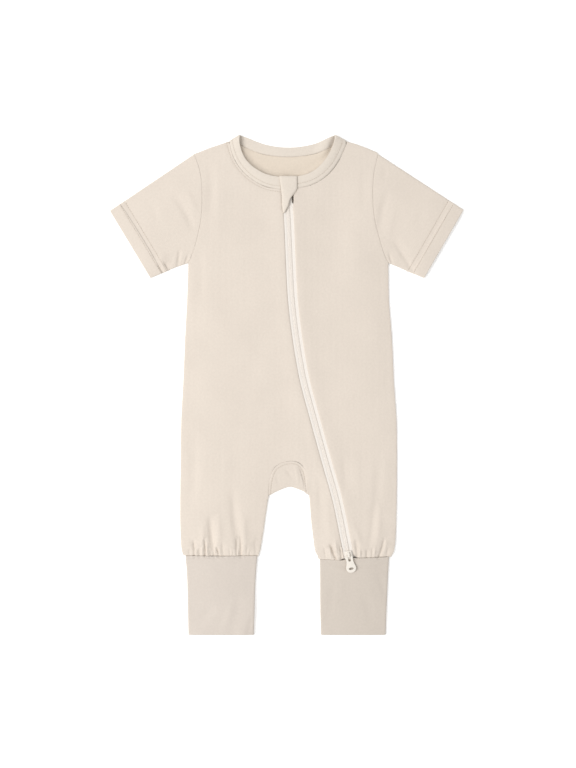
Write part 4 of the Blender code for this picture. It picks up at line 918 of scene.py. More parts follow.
def crease_features():
    """Return mesh points along narrow creases, so that they keep their shape."""
    return np.vstack([
        rows_beside(crease_line(row), np.array([-1, -0.5, 0, 0.5, 1]) * row.half_width,
                    0.7 * row.half_width) for row in CREASES if row.half_width < NARROW_CREASE])


def groove_features():
    """Return mesh points along the rows of stitching."""
    offsets = np.array([-1, -0.5, 0, 0.5, 1]) * sewing("groove_width")
    return np.vstack([rows_beside(path, offsets, 2.2) for path, _ in FURROWS])


def front_panel(name, features):
    """Build one front panel as a closed jersey shell on its solid."""
    wall = cloth("jersey_wall")
    outline = outline_of(name)
    plan, triangles = filled(outline, cloth("spacing"), features)
    distance = distance_to(closed(outline), plan)
    base = smoothed(heights(surface_tree(name), plan), triangles, PANEL_SMOOTHING, distance < 0.1)
    large, fine = front_relief(plan, base)
    body = np.maximum(base + large, np.minimum(base, SIDE_TOP - 0.15))
    # it slopes down to the zip
    beside = (distance_to(ZIP_LINE, plan) - HALF_STRIP) / ZIP_DIP_REACH
    body -= ZIP_DIP[name] * (1 - clamp(beside)) ** 2
    drop = edge_drop(plan, distance, wall)
    bottom = body - wall + 0.4 * drop * (1 - drop / wall) + np.minimum(0.5 * fine, 0)
    return shell(name.replace("_panel", ""), plan, triangles, body + fine - drop, bottom)


def back_panel():
    """Build the back as a closed jersey shell, flat where it rests on the table."""
    wall = cloth("jersey_wall")
    outline = outline_of("back_panel")
    slopes = [(x, y) for x in np.arange(-60.0, 60.0, 1.3) for y in np.arange(228.0, 272.0, 1.3)]
    features = np.vstack([crease_features(), slopes])
    plan, triangles = filled(outline, 1.4 * cloth("spacing"), features)
    distance = distance_to(closed(outline), plan)
    share = np.where(in_back_neck(plan, BACK_NECK_HALF), 0.1, 0.35)
    drop = rolled(distance, 1.0, share * wall)
    top = wall - drop + 0.25 * wave_height(plan) * clamp(distance / 8) + neck_climb(plan)
    # hidden side: the same gathers, as shallow hollows
    under = np.clip(-crease_height(plan), 0, 1.2) * 0.3 * clamp(distance / 3)
    return shell("back", plan, triangles, top, under + 0.6 * drop)


def garage():
    """Build the zip garage, resting on band and fronts and bridging the zip between them."""
    wall = cloth("flap_wall")
    outline = refined(closed(upper_rim("zip_garage")), 1.4)[:-1]
    # its slanting edge is pulled in a little where the zip comes out
    slanting = (outline[:, 0] > 0.8) & (outline[:, 1] < 209.0)
    most, middle, width = PULLED_IN
    outline[slanting, 0] -= most * np.exp(-((outline[slanting, 1] - middle) / width) ** 2)
    plan, triangles = filled(outline, 1.8, np.empty((0, 2)))
    distance = distance_to(closed(outline), plan)
    below = tops_of("front_right", "front_left", "folded_neckband")(plan)
    free = np.isnan(below)
    base = heights(surface_tree("zip_garage"), plan)
    base = np.where(free, base, np.minimum(base, below + wall + 0.1))
    base = smoothed(smoothed(base, triangles, 60, ~free), triangles, 8, distance < 0)
    drop = rolled(distance, 2.2, 0.8 * wall)
    top = base + 0.4 * wave_height(plan * 1.7) - drop
    bottom = np.minimum(base - wall + 0.1 * drop, top - 0.1)
    return shell("garage_flap", plan, triangles, top, bottom)


def across(line, count, roll):
    """Return points spread across a tube's line, close together at its folded edges."""
    edge = np.array([0.0, 0.08, 0.3, 0.62, 1.0]) * roll
    end = path_length(line)[-1]
    middle = np.linspace(edge[-1], end - edge[-1], count)[1:-1]
    return at_lengths(line, np.concatenate([edge, middle, end - edge[::-1]]))


def tube_ring(line, top, low, inset, roll):
    """Return a flattened ring: over the front along a line, and back below it."""
    distance = path_length(line)
    from_edge = np.minimum(distance, distance[-1] - distance)
    open_share = np.sqrt(np.maximum(1 - (1 - clamp(from_edge / roll)) ** 2, 0))
    upper = top - inset
    middle = 0.5 * (upper + low)
    front = np.column_stack([line, middle + (upper - middle) * open_share])
    back = np.column_stack([line, middle - (middle - low) * open_share])
    return np.vstack([front, back[1:-1][::-1]])


def tube(name, lines, highest, wall, angle, lips):
    """Build a flattened cloth tube, open at both ends with lips that stand out as given."""
    roll = cloth("edge_roll")
    turn = np.array([[math.cos(angle), -math.sin(angle)], [math.sin(angle), math.cos(angle)]])
    outer, inner, grain = [], [], []
    for line, top in zip(lines, tube_tops(name, lines, highest, wall)):
        outer.append(tube_ring(line, top, 0.0, 0.0, roll))
        along = path_length(line)
        inset = at_lengths(line, wall + along * (1 - 2 * wall / along[-1]))
        inner.append(tube_ring(inset, top, wall, wall, 0.6 * roll))
        knit_way = line @ turn
        grain.append(np.vstack([knit_way, knit_way[1:-1][::-1]]))
    rims = []
    for end, neighbour, reach in zip((0, -1), (1, -2), lips):
        rim = 0.5 * (outer[end] + inner[end])
        outward = outer[end][:, :2] - outer[neighbour][:, :2]
        outward /= np.maximum(np.linalg.norm(outward, axis=1), 1e-6)[:, None]
        rim[:, :2] += reach * outward
        rims.append(rim)
    return loft(name, [rims[0], *outer, rims[1], *inner[::-1]],
                np.vstack([grain[0], *grain, grain[-1], *grain[::-1]]), capped=False)


def tube_tops(name, lines, highest, wall):
    """Return a tube's front heights on every line: its solid's, with creases, no facets."""
    tree = surface_tree(name)
    grid = []
    for line in lines:
        along = path_length(line)
        calm = at_lengths(line, np.clip(along, 1.4, along[-1] - 1.4))
        calm[:, 1] = np.minimum(calm[:, 1], highest)
        grid.append(heights(tree, calm))
    grid = np.array(grid)
    for _ in range(2 * TUBE_SMOOTHING):
        # averaged along one direction, then, turned, along the other
        wide = np.vstack([grid[:1], grid, grid[-1:]])
        grid = (0.25 * wide[:-2] + 0.5 * grid + 0.25 * wide[2:]).T
    tops = []
    for line, top in zip(lines, grid):
        large, fine = front_relief(line, top, TUBE_SIDE_TOP)
        tops.append(np.maximum(top + large + fine, 2 * wall + 0.1))
    return tops


def build_sleeve(side):
    """Build one short sleeve from the armhole to its hem."""
    name, wall = "sleeve_" + side, cloth("jersey_wall")
    tree = surface_tree(name)
    hem_top, hem_bottom = sleeve_hem(side)
    seam = spread(sleeve_seam(side), TUBE_POINTS)
    hem = np.linspace(hem_top, hem_bottom, TUBE_POINTS)
    lower, hem_way = hem_bottom - seam[-1], unit(hem_bottom - hem_top)
    outward = unit(np.array([lower[1], -lower[0]]))
    outward *= 1 if outward[1] < 0 else -1
    # shares of the way up from the hem, close together at hem rows and ends
    marks = [0.3, 0.8, 1.6, 2.6, *np.arange(4.6, NEAR_HEM, 2.2)]
    marks += [row + step for row in HEM_ROWS for step in (-1.0, -0.5, 0, 0.5, 1.0)]
    spans = np.linspace(abs(cross(hem_way, seam[0] - hem_top)), abs(cross(hem_way, lower)),
                        TUBE_POINTS)
    reached = NEAR_HEM / spans
    ends = 1 - np.array([1.8, 1.0, 0.5, 0.12])[:, None] / spans
    stations = [depth / spans for depth in sorted(marks) if depth < NEAR_HEM]
    stations += [reached + (ends[0] - reached) * part for part in np.linspace(0, 1, 30)]
    stations += list(ends[1:])
    weight = np.linspace(0, 1, TUBE_POINTS)[:, None]
    lines = []
    for station in stations:
        share = station[:, None]
        line = share * seam + (1 - share) * hem
        if share[-1, 0] < 0.97:
            # the lower edge follows the solid's
            probe = line[-1] + 20 * outward
            hit = tree.ray_cast((*probe, 1.15), (*-outward, 0))[0]
            if hit is not None:
                line = line + (np.array(hit[:2]) - line[-1]) * weight ** 3
        lines.append(across(line, 56, cloth("edge_roll")))
    angle = math.atan2(hem_bottom[1] - hem_top[1], hem_bottom[0] - hem_top[0])
    return tube(name, lines, math.inf, wall, angle, (0.3 * wall, 0.08))


def build_cuff(side):
    """Build one leg cuff from the gathered seam to its folded hem."""
    name, wall = "cuff_" + side, cloth("cuff_wall")
    low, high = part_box(name)
    tree = surface_tree(name)
    seam = np.vstack([EDGE[row] + (0, up) for row, up in GATHERED_UP.items() if name in row])
    top, bottom, peak = high.y / MM, low.y / MM, seam[:, 1].max()
    depth = peak - bottom
    downs = np.concatenate([[0.04, 0.4, 1.0, 1.8], np.linspace(2.8, 9.6, 8),
                            np.linspace(11.6, depth - 4.0, 26),
                            depth - np.array([2.6, 1.5, 0.8, 0.35])])
    lines = []
    for down in downs:
        y = peak - down
        probe = np.clip(y - 1.0, bottom + 0.5, top - 1.2)
        ends = []
        for edge, direction in ((low.x / MM, 1), (high.x / MM, -1)):
            hit = tree.ray_cast((edge - 20 * direction, probe, 1.6), (direction, 0, 0))[0]
            ends.append(hit.x if hit else edge)
        x = np.linspace(*ends, TUBE_POINTS)
        # the top follows the leg's lower edge, the rows below level out
        dip = (np.interp(x, *seam.T) - CLOSER - LEFT_OPEN - peak) * max(1 - down / 24.0, 0)
        lines.append(across(np.column_stack([x, y + dip]), 44, cloth("edge_roll")))
    return tube(name, lines, top - 1.8, wall, 0.0, (0.02, 0.3 * wall))


def finer_copy(node, name, levels):
    """Return a smooth, finer copy of a solid made of loops of quads."""
    bm = merged(node)
    bmesh.ops.join_triangles(bm, faces=bm.faces, angle_face_threshold=math.radians(70),
                             angle_shape_threshold=math.radians(120))
    crease = bm.edges.layers.float.new("crease_edge")
    for edge in bm.edges:
        edge[crease] = float(edge.calc_face_angle() > CUT_EDGE)
    piece = object_from(bm, name)
    modifier = piece.modifiers.new("finer", "SUBSURF")
    modifier.levels = modifier.render_levels = levels
    apply_modifiers(piece)
    return piece


def press_relief(piece, amount):
    """Bring a piece closer to its seams and press the front's relief into it."""
    points = corners(piece)
    normals = np.array([vert.normal for vert in piece.data.vertices])
    at_seam = (seam_distance(points[:, :2]) < 1.2)[:, None]
    level = np.linalg.norm(normals[:, :2], axis=1)[:, None]
    sideways = np.where(level > 0.3, normals[:, :2] / np.maximum(level, 0.3), 0)
    points[:, :2] += BAND_CLOSER * sideways * at_seam
    large, fine = front_relief(points[:, :2], points[:, 2])
    points[:, 2] += (large * amount + fine) * clamp(normals[:, 2])
    move_corners(piece, points)
    set_grain(piece.data, points[:, :2])


def settle_band(band):
    """Lay the neckband level with the body, and open a deep fold at each shoulder."""
    points = corners(band)
    plan = points[:, :2]
    front = clamp((points[:, 2] - BAND.upper) / BAND.front_rise)
    back = upper_rim("back_panel")
    back_seam = refined(back[in_back_neck(back, BAND_SEAM_HALF)], 1.5)
    upper_back = (points[:, 2] > BAND.lower) & (points[:, 2] < BAND.upper)
    on_body, on_band = tops_of("front_right", "front_left"), tops_of(band.name)
    for side in ("right", "left"):
        seam = resample(EDGE["neck_" + side], 2.0)
        step = on_body(shifted(seam, 0.9)) - on_band(shifted(seam, -1.3))
        step = smoothed_path(np.clip(np.nan_to_num(step), *LEVELLED)[:, None], 4)[:, 0]
        nearest = np.argmin([np.hypot(*(plan - spot).T) for spot in seam], axis=0)
        beside = clamp(distance_to(seam, plan) / BAND.level_reach)
        points[:, 2] += front * step[nearest] * (1 - beside) ** 1.3
        fold = SHOULDER_FOLD
        near_fold = 1 - clamp(distance_to(NECK_INSIDE[side][:, :2], plan) / fold.width)
        lift = clamp((plan[:, 1] - fold.lift_from) / fold.lift_ramp) ** 1.5
        sink = clamp((plan[:, 1] - fold.sink_from) / fold.sink_ramp)
        points[:, 2] += front * fold.lift * near_fold * lift
        points[:, 2] -= fold.sink * near_fold * sink * upper_back
    points[upper_back, 2] += neck_climb(plan[upper_back])
    at_back_seam = np.min([np.hypot(*(plan - spot).T) for spot in back_seam], axis=0)
    slope = (1 - clamp(at_back_seam / BAND.back_reach)) ** 2
    points[:, 2] -= BAND.back_sink * slope * upper_back
    points[:, 2] = np.maximum(points[:, 2], BAND.floor * upper_back)
    move_corners(band, points)


# ---------------------------------------------------------------- materials

def add_node(tree, kind, settings=None, links=None):
    """Add a node with its settings, its input values and its links."""
    node = tree.nodes.new(kind)
    for key, value in (settings or {}).items():
        setattr(node, key, value)
    for socket, value in (links or {}).items():
        if isinstance(value, bpy.types.NodeSocket):
            tree.links.new(value, node.inputs[socket])
        else:
            node.inputs[socket].default_value = value
    return node


def maths(tree, operation, *values):
    """Add a sum and return its result."""
    return add_node(tree, "ShaderNodeMath", {"operation": operation},
                    dict(enumerate(values))).outputs[0]


def speckle(tree, where, scale, detail, dimensions="3D"):
    """Add a fine random pattern and return its value."""
    return add_node(tree, "ShaderNodeTexNoise", {"noise_dimensions": dimensions},
                    {"Vector": where, "Scale": scale, "Detail": detail}).outputs[0]


def start_material(name, values):
    """Return a new material with its node tree and its main shader."""
    material = bpy.data.materials.new(name)
    material.use_nodes = True
    shader = material.node_tree.nodes["Principled BSDF"]
    for socket, value in values.items():
        shader.inputs[socket].default_value = value
    return material, material.node_tree, shader


def finish_material(tree, shader, bump, tint):
    """Raise the surface by (height, distance, strength) and shade it by (value, range, colour)."""
    height, distance, strength = bump
    raised = add_node(tree, "ShaderNodeBump", links={
        "Height": height, "Distance": distance, "Strength": strength})
    value, (low, high, dark, light), base = tint
    shade = add_node(tree, "ShaderNodeMapRange", links={
        "Value": value, "From Min": low, "From Max": high, "To Min": dark, "To Max": light})
    mixed = add_node(tree, "ShaderNodeMix", {"data_type": "RGBA", "blend_type": "MULTIPLY"},
                     {"Factor": 1.0, "A": (*base, 1.0), "B": shade.outputs[0]})
    tree.links.new(raised.outputs[0], shader.inputs["Normal"])
    tree.links.new(mixed.outputs["Result"], shader.inputs["Base Color"])


def grain_parts(tree):
    """Add the knit's directions and return them whole, across and along."""
    grain = add_node(tree, "ShaderNodeUVMap", {"uv_map": "grain"}).outputs[0]
    parts = add_node(tree, "ShaderNodeSeparateXYZ", links={0: grain})
    return grain, parts.outputs["X"], parts.outputs["Y"]


def knit_material(name, base, wale, course, depth):
    """Cotton-blend knit: rows of small V stitches and a short soft nap.

    To the eye it is matt, slightly lighter at grazing angles, with a faint vertical rib.
    A real wale is 0.7 mm; it is drawn wider so that it shows at the render's scale.
    """
    material, tree, shader = start_material(name, {
        "Roughness": 0.92, "IOR": 1.5, "Sheen Weight": 0.2, "Sheen Roughness": 0.45,
        "Specular IOR Level": 0.25})
    grain, side, up = grain_parts(tree)
    leg = maths(tree, "PINGPONG", maths(tree, "DIVIDE", side, wale), 0.5)
    slanted = maths(tree, "MULTIPLY_ADD", leg, 1.3, maths(tree, "DIVIDE", up, course))
    loops = maths(tree, "SINE", maths(tree, "MULTIPLY", slanted, 2 * math.pi))
    valley = maths(tree, "MULTIPLY_ADD", leg, 2.4, -0.6)
    stitch = maths(tree, "MULTIPLY_ADD", loops, 0.35, valley)
    place = add_node(tree, "ShaderNodeTexCoord").outputs["Object"]
    height = maths(tree, "MULTIPLY_ADD", speckle(tree, place, 900.0, 3.0), 1.6, stitch)
    # slightly uneven yarn and dye
    uneven = maths(tree, "ADD", speckle(tree, place, 26.0, 4.0),
                   speckle(tree, grain, 420.0, 2.0, "2D"))
    finish_material(tree, shader, (height, depth, 0.6), (uneven, (0.6, 1.4, 0.955, 1.025), base))
    return material


def knit(name):
    """Return one of the knits, made once.

    The jersey is soft and matt. Its wrong side is looped, a little yellower and duller. The
    folded band is the same cloth, smoother for its fold. Doubled interlock is finer and denser;
    the left cuff's copy of it is coloured darker, which is painted shade.
    """
    settings = bpy.context.scene.romper_cloth
    wale, course = settings.wale, settings.course
    made = {
        "cotton_blend_jersey": (settings.jersey, wale, course, 0.00012),
        "jersey_wrong_side": (settings.inside, course, wale, 0.0001),
        "folded_jersey_band": (settings.band, wale, course, 0.0001),
        # painted shade: the left cuff's interlock is a darker copy of the right one's
        "doubled_interlock_right": (settings.cuff_right, 0.9 * wale, 0.9 * course, 0.00012),
        "doubled_interlock_left": (settings.cuff_left, 0.9 * wale, 0.9 * course, 0.00012),
    }
    return bpy.data.materials.get(name) or knit_material(name, *made[name])


def tape_material(base):
    """Woven polyester tape: fine ribs across, a faint silky gloss, and painted shade in the
    hollows between ribs and ends.

    Its ribs of 0.9 mm and ends of 0.7 mm are drawn coarser than real ones, which wouldn't show.
    """
    material, tree, shader = start_material("woven_polyester_tape", {
        "Roughness": 0.62, "IOR": 1.54, "Sheen Weight": 0.15})
    _, side, up = grain_parts(tree)
    rib = maths(tree, "SINE", maths(tree, "MULTIPLY", up, 2 * math.pi / 0.0009))
    end = maths(tree, "SINE", maths(tree, "MULTIPLY", side, 2 * math.pi / 0.0007))
    weave_and_hollow_shade = maths(tree, "MULTIPLY", rib, end)
    # painted shade: the colour darkens with the surface's height, in the hollows between ribs and
    # ends
    finish_material(tree, shader, (weave_and_hollow_shade, 0.00008, 0.6), (weave_and_hollow_shade, (-1.0, 1.0, 0.95, 1.0), base))
    return material


def plain_material(name, base, roughness, ior, scale, coat=0.0):
    """A smooth finish with faint unevenness from how it was made: small bumps, with painted shade
    in their dips.
    """
    material, tree, shader = start_material(name, {
        "Roughness": roughness, "IOR": ior, "Coat Weight": coat, "Coat Roughness": 0.2})
    place = add_node(tree, "ShaderNodeTexCoord").outputs["Object"]
    bumps_with_dip_shade = speckle(tree, place, scale, 3.0)
    # painted shade: the colour darkens where the bumps dip
    finish_material(tree, shader, (bumps_with_dip_shade, 0.00002, 0.5), (bumps_with_dip_shade, (0.3, 0.7, 0.95, 1.02), base))
    return material


# ---------------------------------------------------------------- repeats along paths

def along_path_tree():
    """Return the node tree that sets an item along a path, made once."""
    found = bpy.data.node_groups.get("set along path")
    if found:
        return found
    tree = bpy.data.node_groups.new("set along path", "GeometryNodeTree")
    for name, kind in (("Geometry", "Geometry"), ("Item", "Object"), ("Spacing", "Float"),
                       ("Start", "Float"), ("Unevenness", "Float"), ("Seed", "Int"),
                       ("Finish", "Material")):
        tree.interface.new_socket(name, in_out="INPUT", socket_type="NodeSocket" + kind)
    tree.interface.new_socket("Geometry", in_out="OUTPUT", socket_type="NodeSocketGeometry")
    given = add_node(tree, "NodeGroupInput").outputs
    trimmed = add_node(tree, "GeometryNodeTrimCurve", {"mode": "LENGTH"},
                       {0: given["Geometry"], 4: given["Start"], 5: 1000.0})
    spaced = add_node(tree, "GeometryNodeResampleCurve", {"mode": "LENGTH"},
                      {0: trimmed.outputs[0], "Length": given["Spacing"]})
    tangent = add_node(tree, "GeometryNodeInputTangent").outputs[0]
    flat = add_node(tree, "FunctionNodeAlignRotationToVector", {"axis": "Y", "pivot_axis": "Z"},
                    {"Vector": tangent})
    sloped = add_node(tree, "FunctionNodeAlignRotationToVector", {"axis": "Y", "pivot_axis": "X"},
                      {"Rotation": flat.outputs[0], "Vector": tangent})
    size = add_node(tree, "FunctionNodeRandomValue", {"data_type": "FLOAT"},
                    {2: maths(tree, "SUBTRACT", 1.0, given["Unevenness"]),
                     3: maths(tree, "ADD", 1.0, given["Unevenness"]), "Seed": given["Seed"]})
    item = add_node(tree, "GeometryNodeObjectInfo", {"transform_space": "ORIGINAL"},
                    {"Object": given["Item"]})
    placed = add_node(tree, "GeometryNodeInstanceOnPoints", links={
        "Points": spaced.outputs[0], "Instance": item.outputs["Geometry"],
        "Rotation": sloped.outputs[0], "Scale": size.outputs[1]})
    real = add_node(tree, "GeometryNodeRealizeInstances", links={0: placed.outputs[0]})
    finish = add_node(tree, "GeometryNodeSetMaterial",
                      links={0: real.outputs[0], "Material": given["Finish"]})
    add_node(tree, "NodeGroupOutput", links={0: finish.outputs[0]})
    return tree


def item_along(name, paths, item, **values):
    """Return a mesh of items set along paths given in millimetres, and remove the item."""
    curve = bpy.data.curves.new(name + "_path", "CURVE")
    curve.dimensions = "3D"
    for path in paths:
        spline = curve.splines.new("POLY")
        spline.points.add(len(path) - 1)
        spline.points.foreach_set("co", np.column_stack([path * MM, np.ones(len(path))]).ravel())
    holder = add_object(name + "_path", curve)
    modifier = holder.modifiers.new("repeat", "NODES")
    modifier.node_group = along_path_tree()
    values["Item"] = item
    for socket in modifier.node_group.interface.items_tree:
        if socket.name in values and socket.in_out == "INPUT":
            modifier[socket.identifier] = values[socket.name]
    mesh = mesh_of(holder)
    mesh.name = name
    mesh.shade_smooth()
    bpy.data.objects.remove(holder)
    bpy.data.objects.remove(item)
    return add_object(name, mesh)


def bent_rod(name, path, radius, sides, squash=1.0):
    """Return a small closed rod along a path in millimetres, for a stitch or a coil turn."""
    path = np.array(path, dtype=float)
    sizes = np.full(len(path), radius)
    sizes[[0, -1]] *= 0.55
    rings = []
    for point, run, size in zip(path, np.gradient(path, axis=0), sizes):
        run = unit(run)
        side = np.cross(run, (0.0, 0.0, 1.0))
        side /= max(np.linalg.norm(side), 1e-6)
        lift = np.cross(side, run)
        rings.append([point + size * (math.cos(angle) * side + squash * math.sin(angle) * lift)
                      for angle in 2 * math.pi * np.arange(sides) / sides])
    return loft(name, rings)


def tops_of(*names):
    """Return a function giving how high finished pieces stand at plan points."""
    graph = bpy.context.evaluated_depsgraph_get()
    trees = [BVHTree.FromObject(bpy.data.objects[name], graph) for name in names]

    def highest(points):
        """Return the height at each point, nan where there is no piece."""
        found = []
        for x, y in points:
            hits = [tree.ray_cast((x * MM, y * MM, ABOVE * MM), (0, 0, -1))[0] for tree in trees]
            found.append(max((hit.z / MM for hit in hits if hit is not None), default=math.nan))
        return np.array(found)
    return highest


def draped_paths(paths, names, lift):
    """Return plan paths laid on top of the finished pieces, lifted a little."""
    highest = tops_of(*names)
    laid = []
    for path in paths:
        spots = resample(path, 1.6)
        top = highest(spots)
        good = ~np.isnan(top)
        laid.append(np.column_stack([spots[good], top[good] + lift]))
    return laid


def ribbon(name, path, half_width, half_height, lift):
    """Return a flat rounded strip along a path in millimetres."""
    turns = np.linspace(0, 2 * math.pi, 9)[:-1]
    section = np.column_stack([half_width * np.cos(turns), lift + half_height * np.sin(turns)])
    return loft(name, [
        [(*(place[:2] + side * out), place[2] + up) for out, up in section]
        for place, side in zip(path, left_of(path))])


def flatter(out, up):
    """Return a height of the left tape's section: its cord lies lower than the right one's."""
    if 2.0 < out < 5.0:
        return 0.8 + 0.35 * (up - 0.8)
    return up - 0.03 if 5.0 <= out < 6.95 else up


def tape(side):
    """Return one zip tape, laid on its solid."""
    node, sign = "zip_tape_" + side, -1 if side == "right" else 1
    line = along_zip(node, 2.2, 0.6, 0.6)
    tree = surface_tree(node)
    reach = np.where(line[:, 1] > TAPE_UNDER_BAND[0], TAPE_UNDER_BAND[1], TAPE_REACH)
    shape = TAPE_SHAPE
    if side == "left":
        reach[line[:, 1] > TAPE_AT_SLIT[0]] = TAPE_AT_SLIT[1]
        shape = [(out, flatter(out, up)) for out, up in shape]
    rings, grain = [], []
    for place, left, far, along in zip(line, sign * left_of(line), reach, path_length(line)):
        level = heights(tree, [place + left * 4.0])[0] - 1.0
        rings.append([(*(place + left * min(out, far)), level + up) for out, up in shape])
        grain += [(out, along) for out, _ in shape]
    return loft("tape_" + side, rings, grain)


def join_pieces(name, pieces):
    """Join several objects into one named piece."""
    bm = bmesh.new()
    for piece in pieces:
        bm.from_mesh(piece.data)
        bpy.data.objects.remove(piece)
    for face in bm.faces:
        face.material_index = 0
    joined = object_from(bm, name, 1.0)
    joined.data.shade_smooth()
    return joined


# ---------------------------------------------------------------- operators

class RomperOperator:
    """What every operator of this panel has in common"""
    bl_options = {"REGISTER", "UNDO"}


class ROMPER_OT_panels(RomperOperator, bpy.types.Operator):
    """Cut and lay the back and the two fronts"""
    bl_idname = "romper.panels"
    bl_label = "Body panels"

    def execute(self, context):
        """Build the three body panels."""
        features = np.vstack([crease_features(), groove_features()])
        back = dress(back_panel(), knit("jersey_wrong_side"), "back_panel")
        right, left = (dress(front_panel(node, features), knit("cotton_blend_jersey"), node)
                       for node in ("front_right_panel", "front_left_panel"))
        return {"FINISHED"}


class ROMPER_OT_gusset(RomperOperator, bpy.types.Operator):
    """Fold the gusset under the crotch"""
    bl_idname = "romper.gusset"
    bl_label = "Gusset"

    def execute(self, context):
        """Build the gusset."""
        piece = finer_copy("gusset", "crotch_gusset", 3)
        press_relief(piece, 0.8)
        dress(piece, knit("cotton_blend_jersey"), "gusset")
        return {"FINISHED"}


class ROMPER_OT_sleeves(RomperOperator, bpy.types.Operator):
    """Build both short sleeves"""
    bl_idname = "romper.sleeves"
    bl_label = "Sleeves"

    def execute(self, context):
        """Build the sleeves."""
        for side in ("right", "left"):
            piece = dress(build_sleeve(side), knit("cotton_blend_jersey"), "sleeve_" + side)
            piece.name = "short_sleeve_" + side
        return {"FINISHED"}


class ROMPER_OT_cuffs(RomperOperator, bpy.types.Operator):
    """Build both leg cuffs"""
    bl_idname = "romper.cuffs"
    bl_label = "Leg cuffs"

    def execute(self, context):
        """Build the cuffs."""
        for side in ("right", "left"):
            # each cuff gets its own copy of the interlock; the left one's darker colour is painted
            # shade
            piece = dress(build_cuff(side), knit("doubled_interlock_" + side), "cuff_" + side)
            piece.name = "leg_cuff_" + side
        return {"FINISHED"}


class ROMPER_OT_neckband(RomperOperator, bpy.types.Operator):
    """Fold the neckband round the neckline"""
    bl_idname = "romper.neckband"
    bl_label = "Neckband"

    def execute(self, context):
        """Build the neckband."""
        piece = finer_copy("neckband", "folded_neckband", 3)
        settle_band(piece)
        press_relief(piece, 0.0)
        dress(piece, knit("folded_jersey_band"), "neckband")
        return {"FINISHED"}


class ROMPER_OT_garage(RomperOperator, bpy.types.Operator):
    """Fold the flap over the zip's top end"""
    bl_idname = "romper.garage"
    bl_label = "Zip garage"

    def execute(self, context):
        """Build the zip garage."""
        piece = dress(garage(), knit("folded_jersey_band"), "zip_garage")
        return {"FINISHED"}


class ROMPER_OT_tapes(RomperOperator, bpy.types.Operator):
    """Weave the two zip tapes"""
    bl_idname = "romper.tapes"
    bl_label = "Zip tapes"

    def execute(self, context):
        """Build the two zip tapes."""
        material = tape_material(context.scene.romper_zip.tape)
        for side in ("right", "left"):
            dress(tape(side), material, "zip_tape_" + side)
        return {"FINISHED"}


class ROMPER_OT_coil(RomperOperator, bpy.types.Operator):
    """Wind the closed nylon coil"""
    bl_idname = "romper.coil"
    bl_label = "Zip coil"

    def execute(self, context):
        """Build the coil's turns and the cord inside them."""
        settings = context.scene.romper_zip
        # smooth drawn wire: a soft gloss on every turn
        nylon = plain_material("nylon_coil", settings.coil, 0.38, 1.53, 1500.0)
        line = along_zip("zip_chain", 2.0, 1.0, 0.8)
        level = heights(surface_tree("zip_chain"), line) - 0.75
        path = np.column_stack([line, smoothed_path(level[:, None], 6)])
        pieces = []
        for number, sign in enumerate((-1, 1)):
            turn = [(sign * out, 0, up) for out, up in COIL_TURN]
            item = bent_rod("turn", turn, 0.5 * settings.wire / MM, 6, 0.6)
            pieces.append(item_along(
                f"coil_{number}", [path], item, Spacing=settings.tooth_pitch,
                Start=number * 0.5 * settings.tooth_pitch + 1e-5, Unevenness=0.0, Seed=1,
                Finish=nylon))
        pieces.append(ribbon("coil_core", path, 1.8, 0.45, -0.12))
        dress(join_pieces("zip_coil", pieces), nylon, "zip_chain")
        return {"FINISHED"}


class ROMPER_OT_hardware(RomperOperator, bpy.types.Operator):
    """Round off and lacquer the slider and its pull tab"""
    bl_idname = "romper.hardware"
    bl_label = "Slider and pull tab"

    def execute(self, context):
        """Build the slider and the tab as soft-edged castings."""
        # cream lacquer over cast zinc: smooth, with a clear gloss on its edges
        lacquer = plain_material("lacquered_zinc", context.scene.romper_zip.metal, 0.32, 1.5,
                                 700.0, 0.5)
        for node, name, body, edge in (("zip_slider", "slider", "garment", 0.22),
                                       ("zip_pull_tab", "pull_tab", "pull_tab", 0.28)):
            bm = merged(node)
            bmesh.ops.dissolve_limit(bm, angle_limit=math.radians(1.0), verts=bm.verts,
                                     edges=bm.edges)
            piece = object_from(bm, name)
            bevel = piece.modifiers.new("soft edges", "BEVEL")
            bevel.width = edge * MM
            bevel.segments = 3
            bevel.limit_method = "ANGLE"
            bevel.angle_limit = math.radians(35)
            apply_modifiers(piece)
            dress(piece, lacquer, node, body)
        return {"FINISHED"}


class ROMPER_OT_stitching(RomperOperator, bpy.types.Operator):
    """Sew every visible row"""
    bl_idname = "romper.stitching"
    bl_label = "Stitching"

    def execute(self, context):
        """Lay the rows of stitches on the finished cloth."""
        settings = context.scene.romper_stitching
        # spun thread: dull. Its colour is darker than the cloth's, which is painted shade standing
        # in for the shadow in the stitch grooves
        thread = plain_material("polyester_thread", settings.colour, 0.6, 1.5, 2500.0)
        radius, reach = 0.5 * sewing("thread"), 0.4 * sewing("pitch")
        item = bent_rod("stitch", [(0, reach * along, up) for along, up in STITCH], radius, 5)
        names = ("front_right", "front_left", "short_sleeve_right", "short_sleeve_left",
                 "folded_neckband", "crotch_gusset")
        paths = draped_paths([path for path, _ in ROWS], names, 0.5 * radius)
        piece = item_along("stitching", paths, item, Spacing=settings.pitch, Start=0.0012,
                           Unevenness=0.1, Seed=7, Finish=thread)
        dress(piece, thread, "front_right_panel", replaced=False)
        return {"FINISHED"}


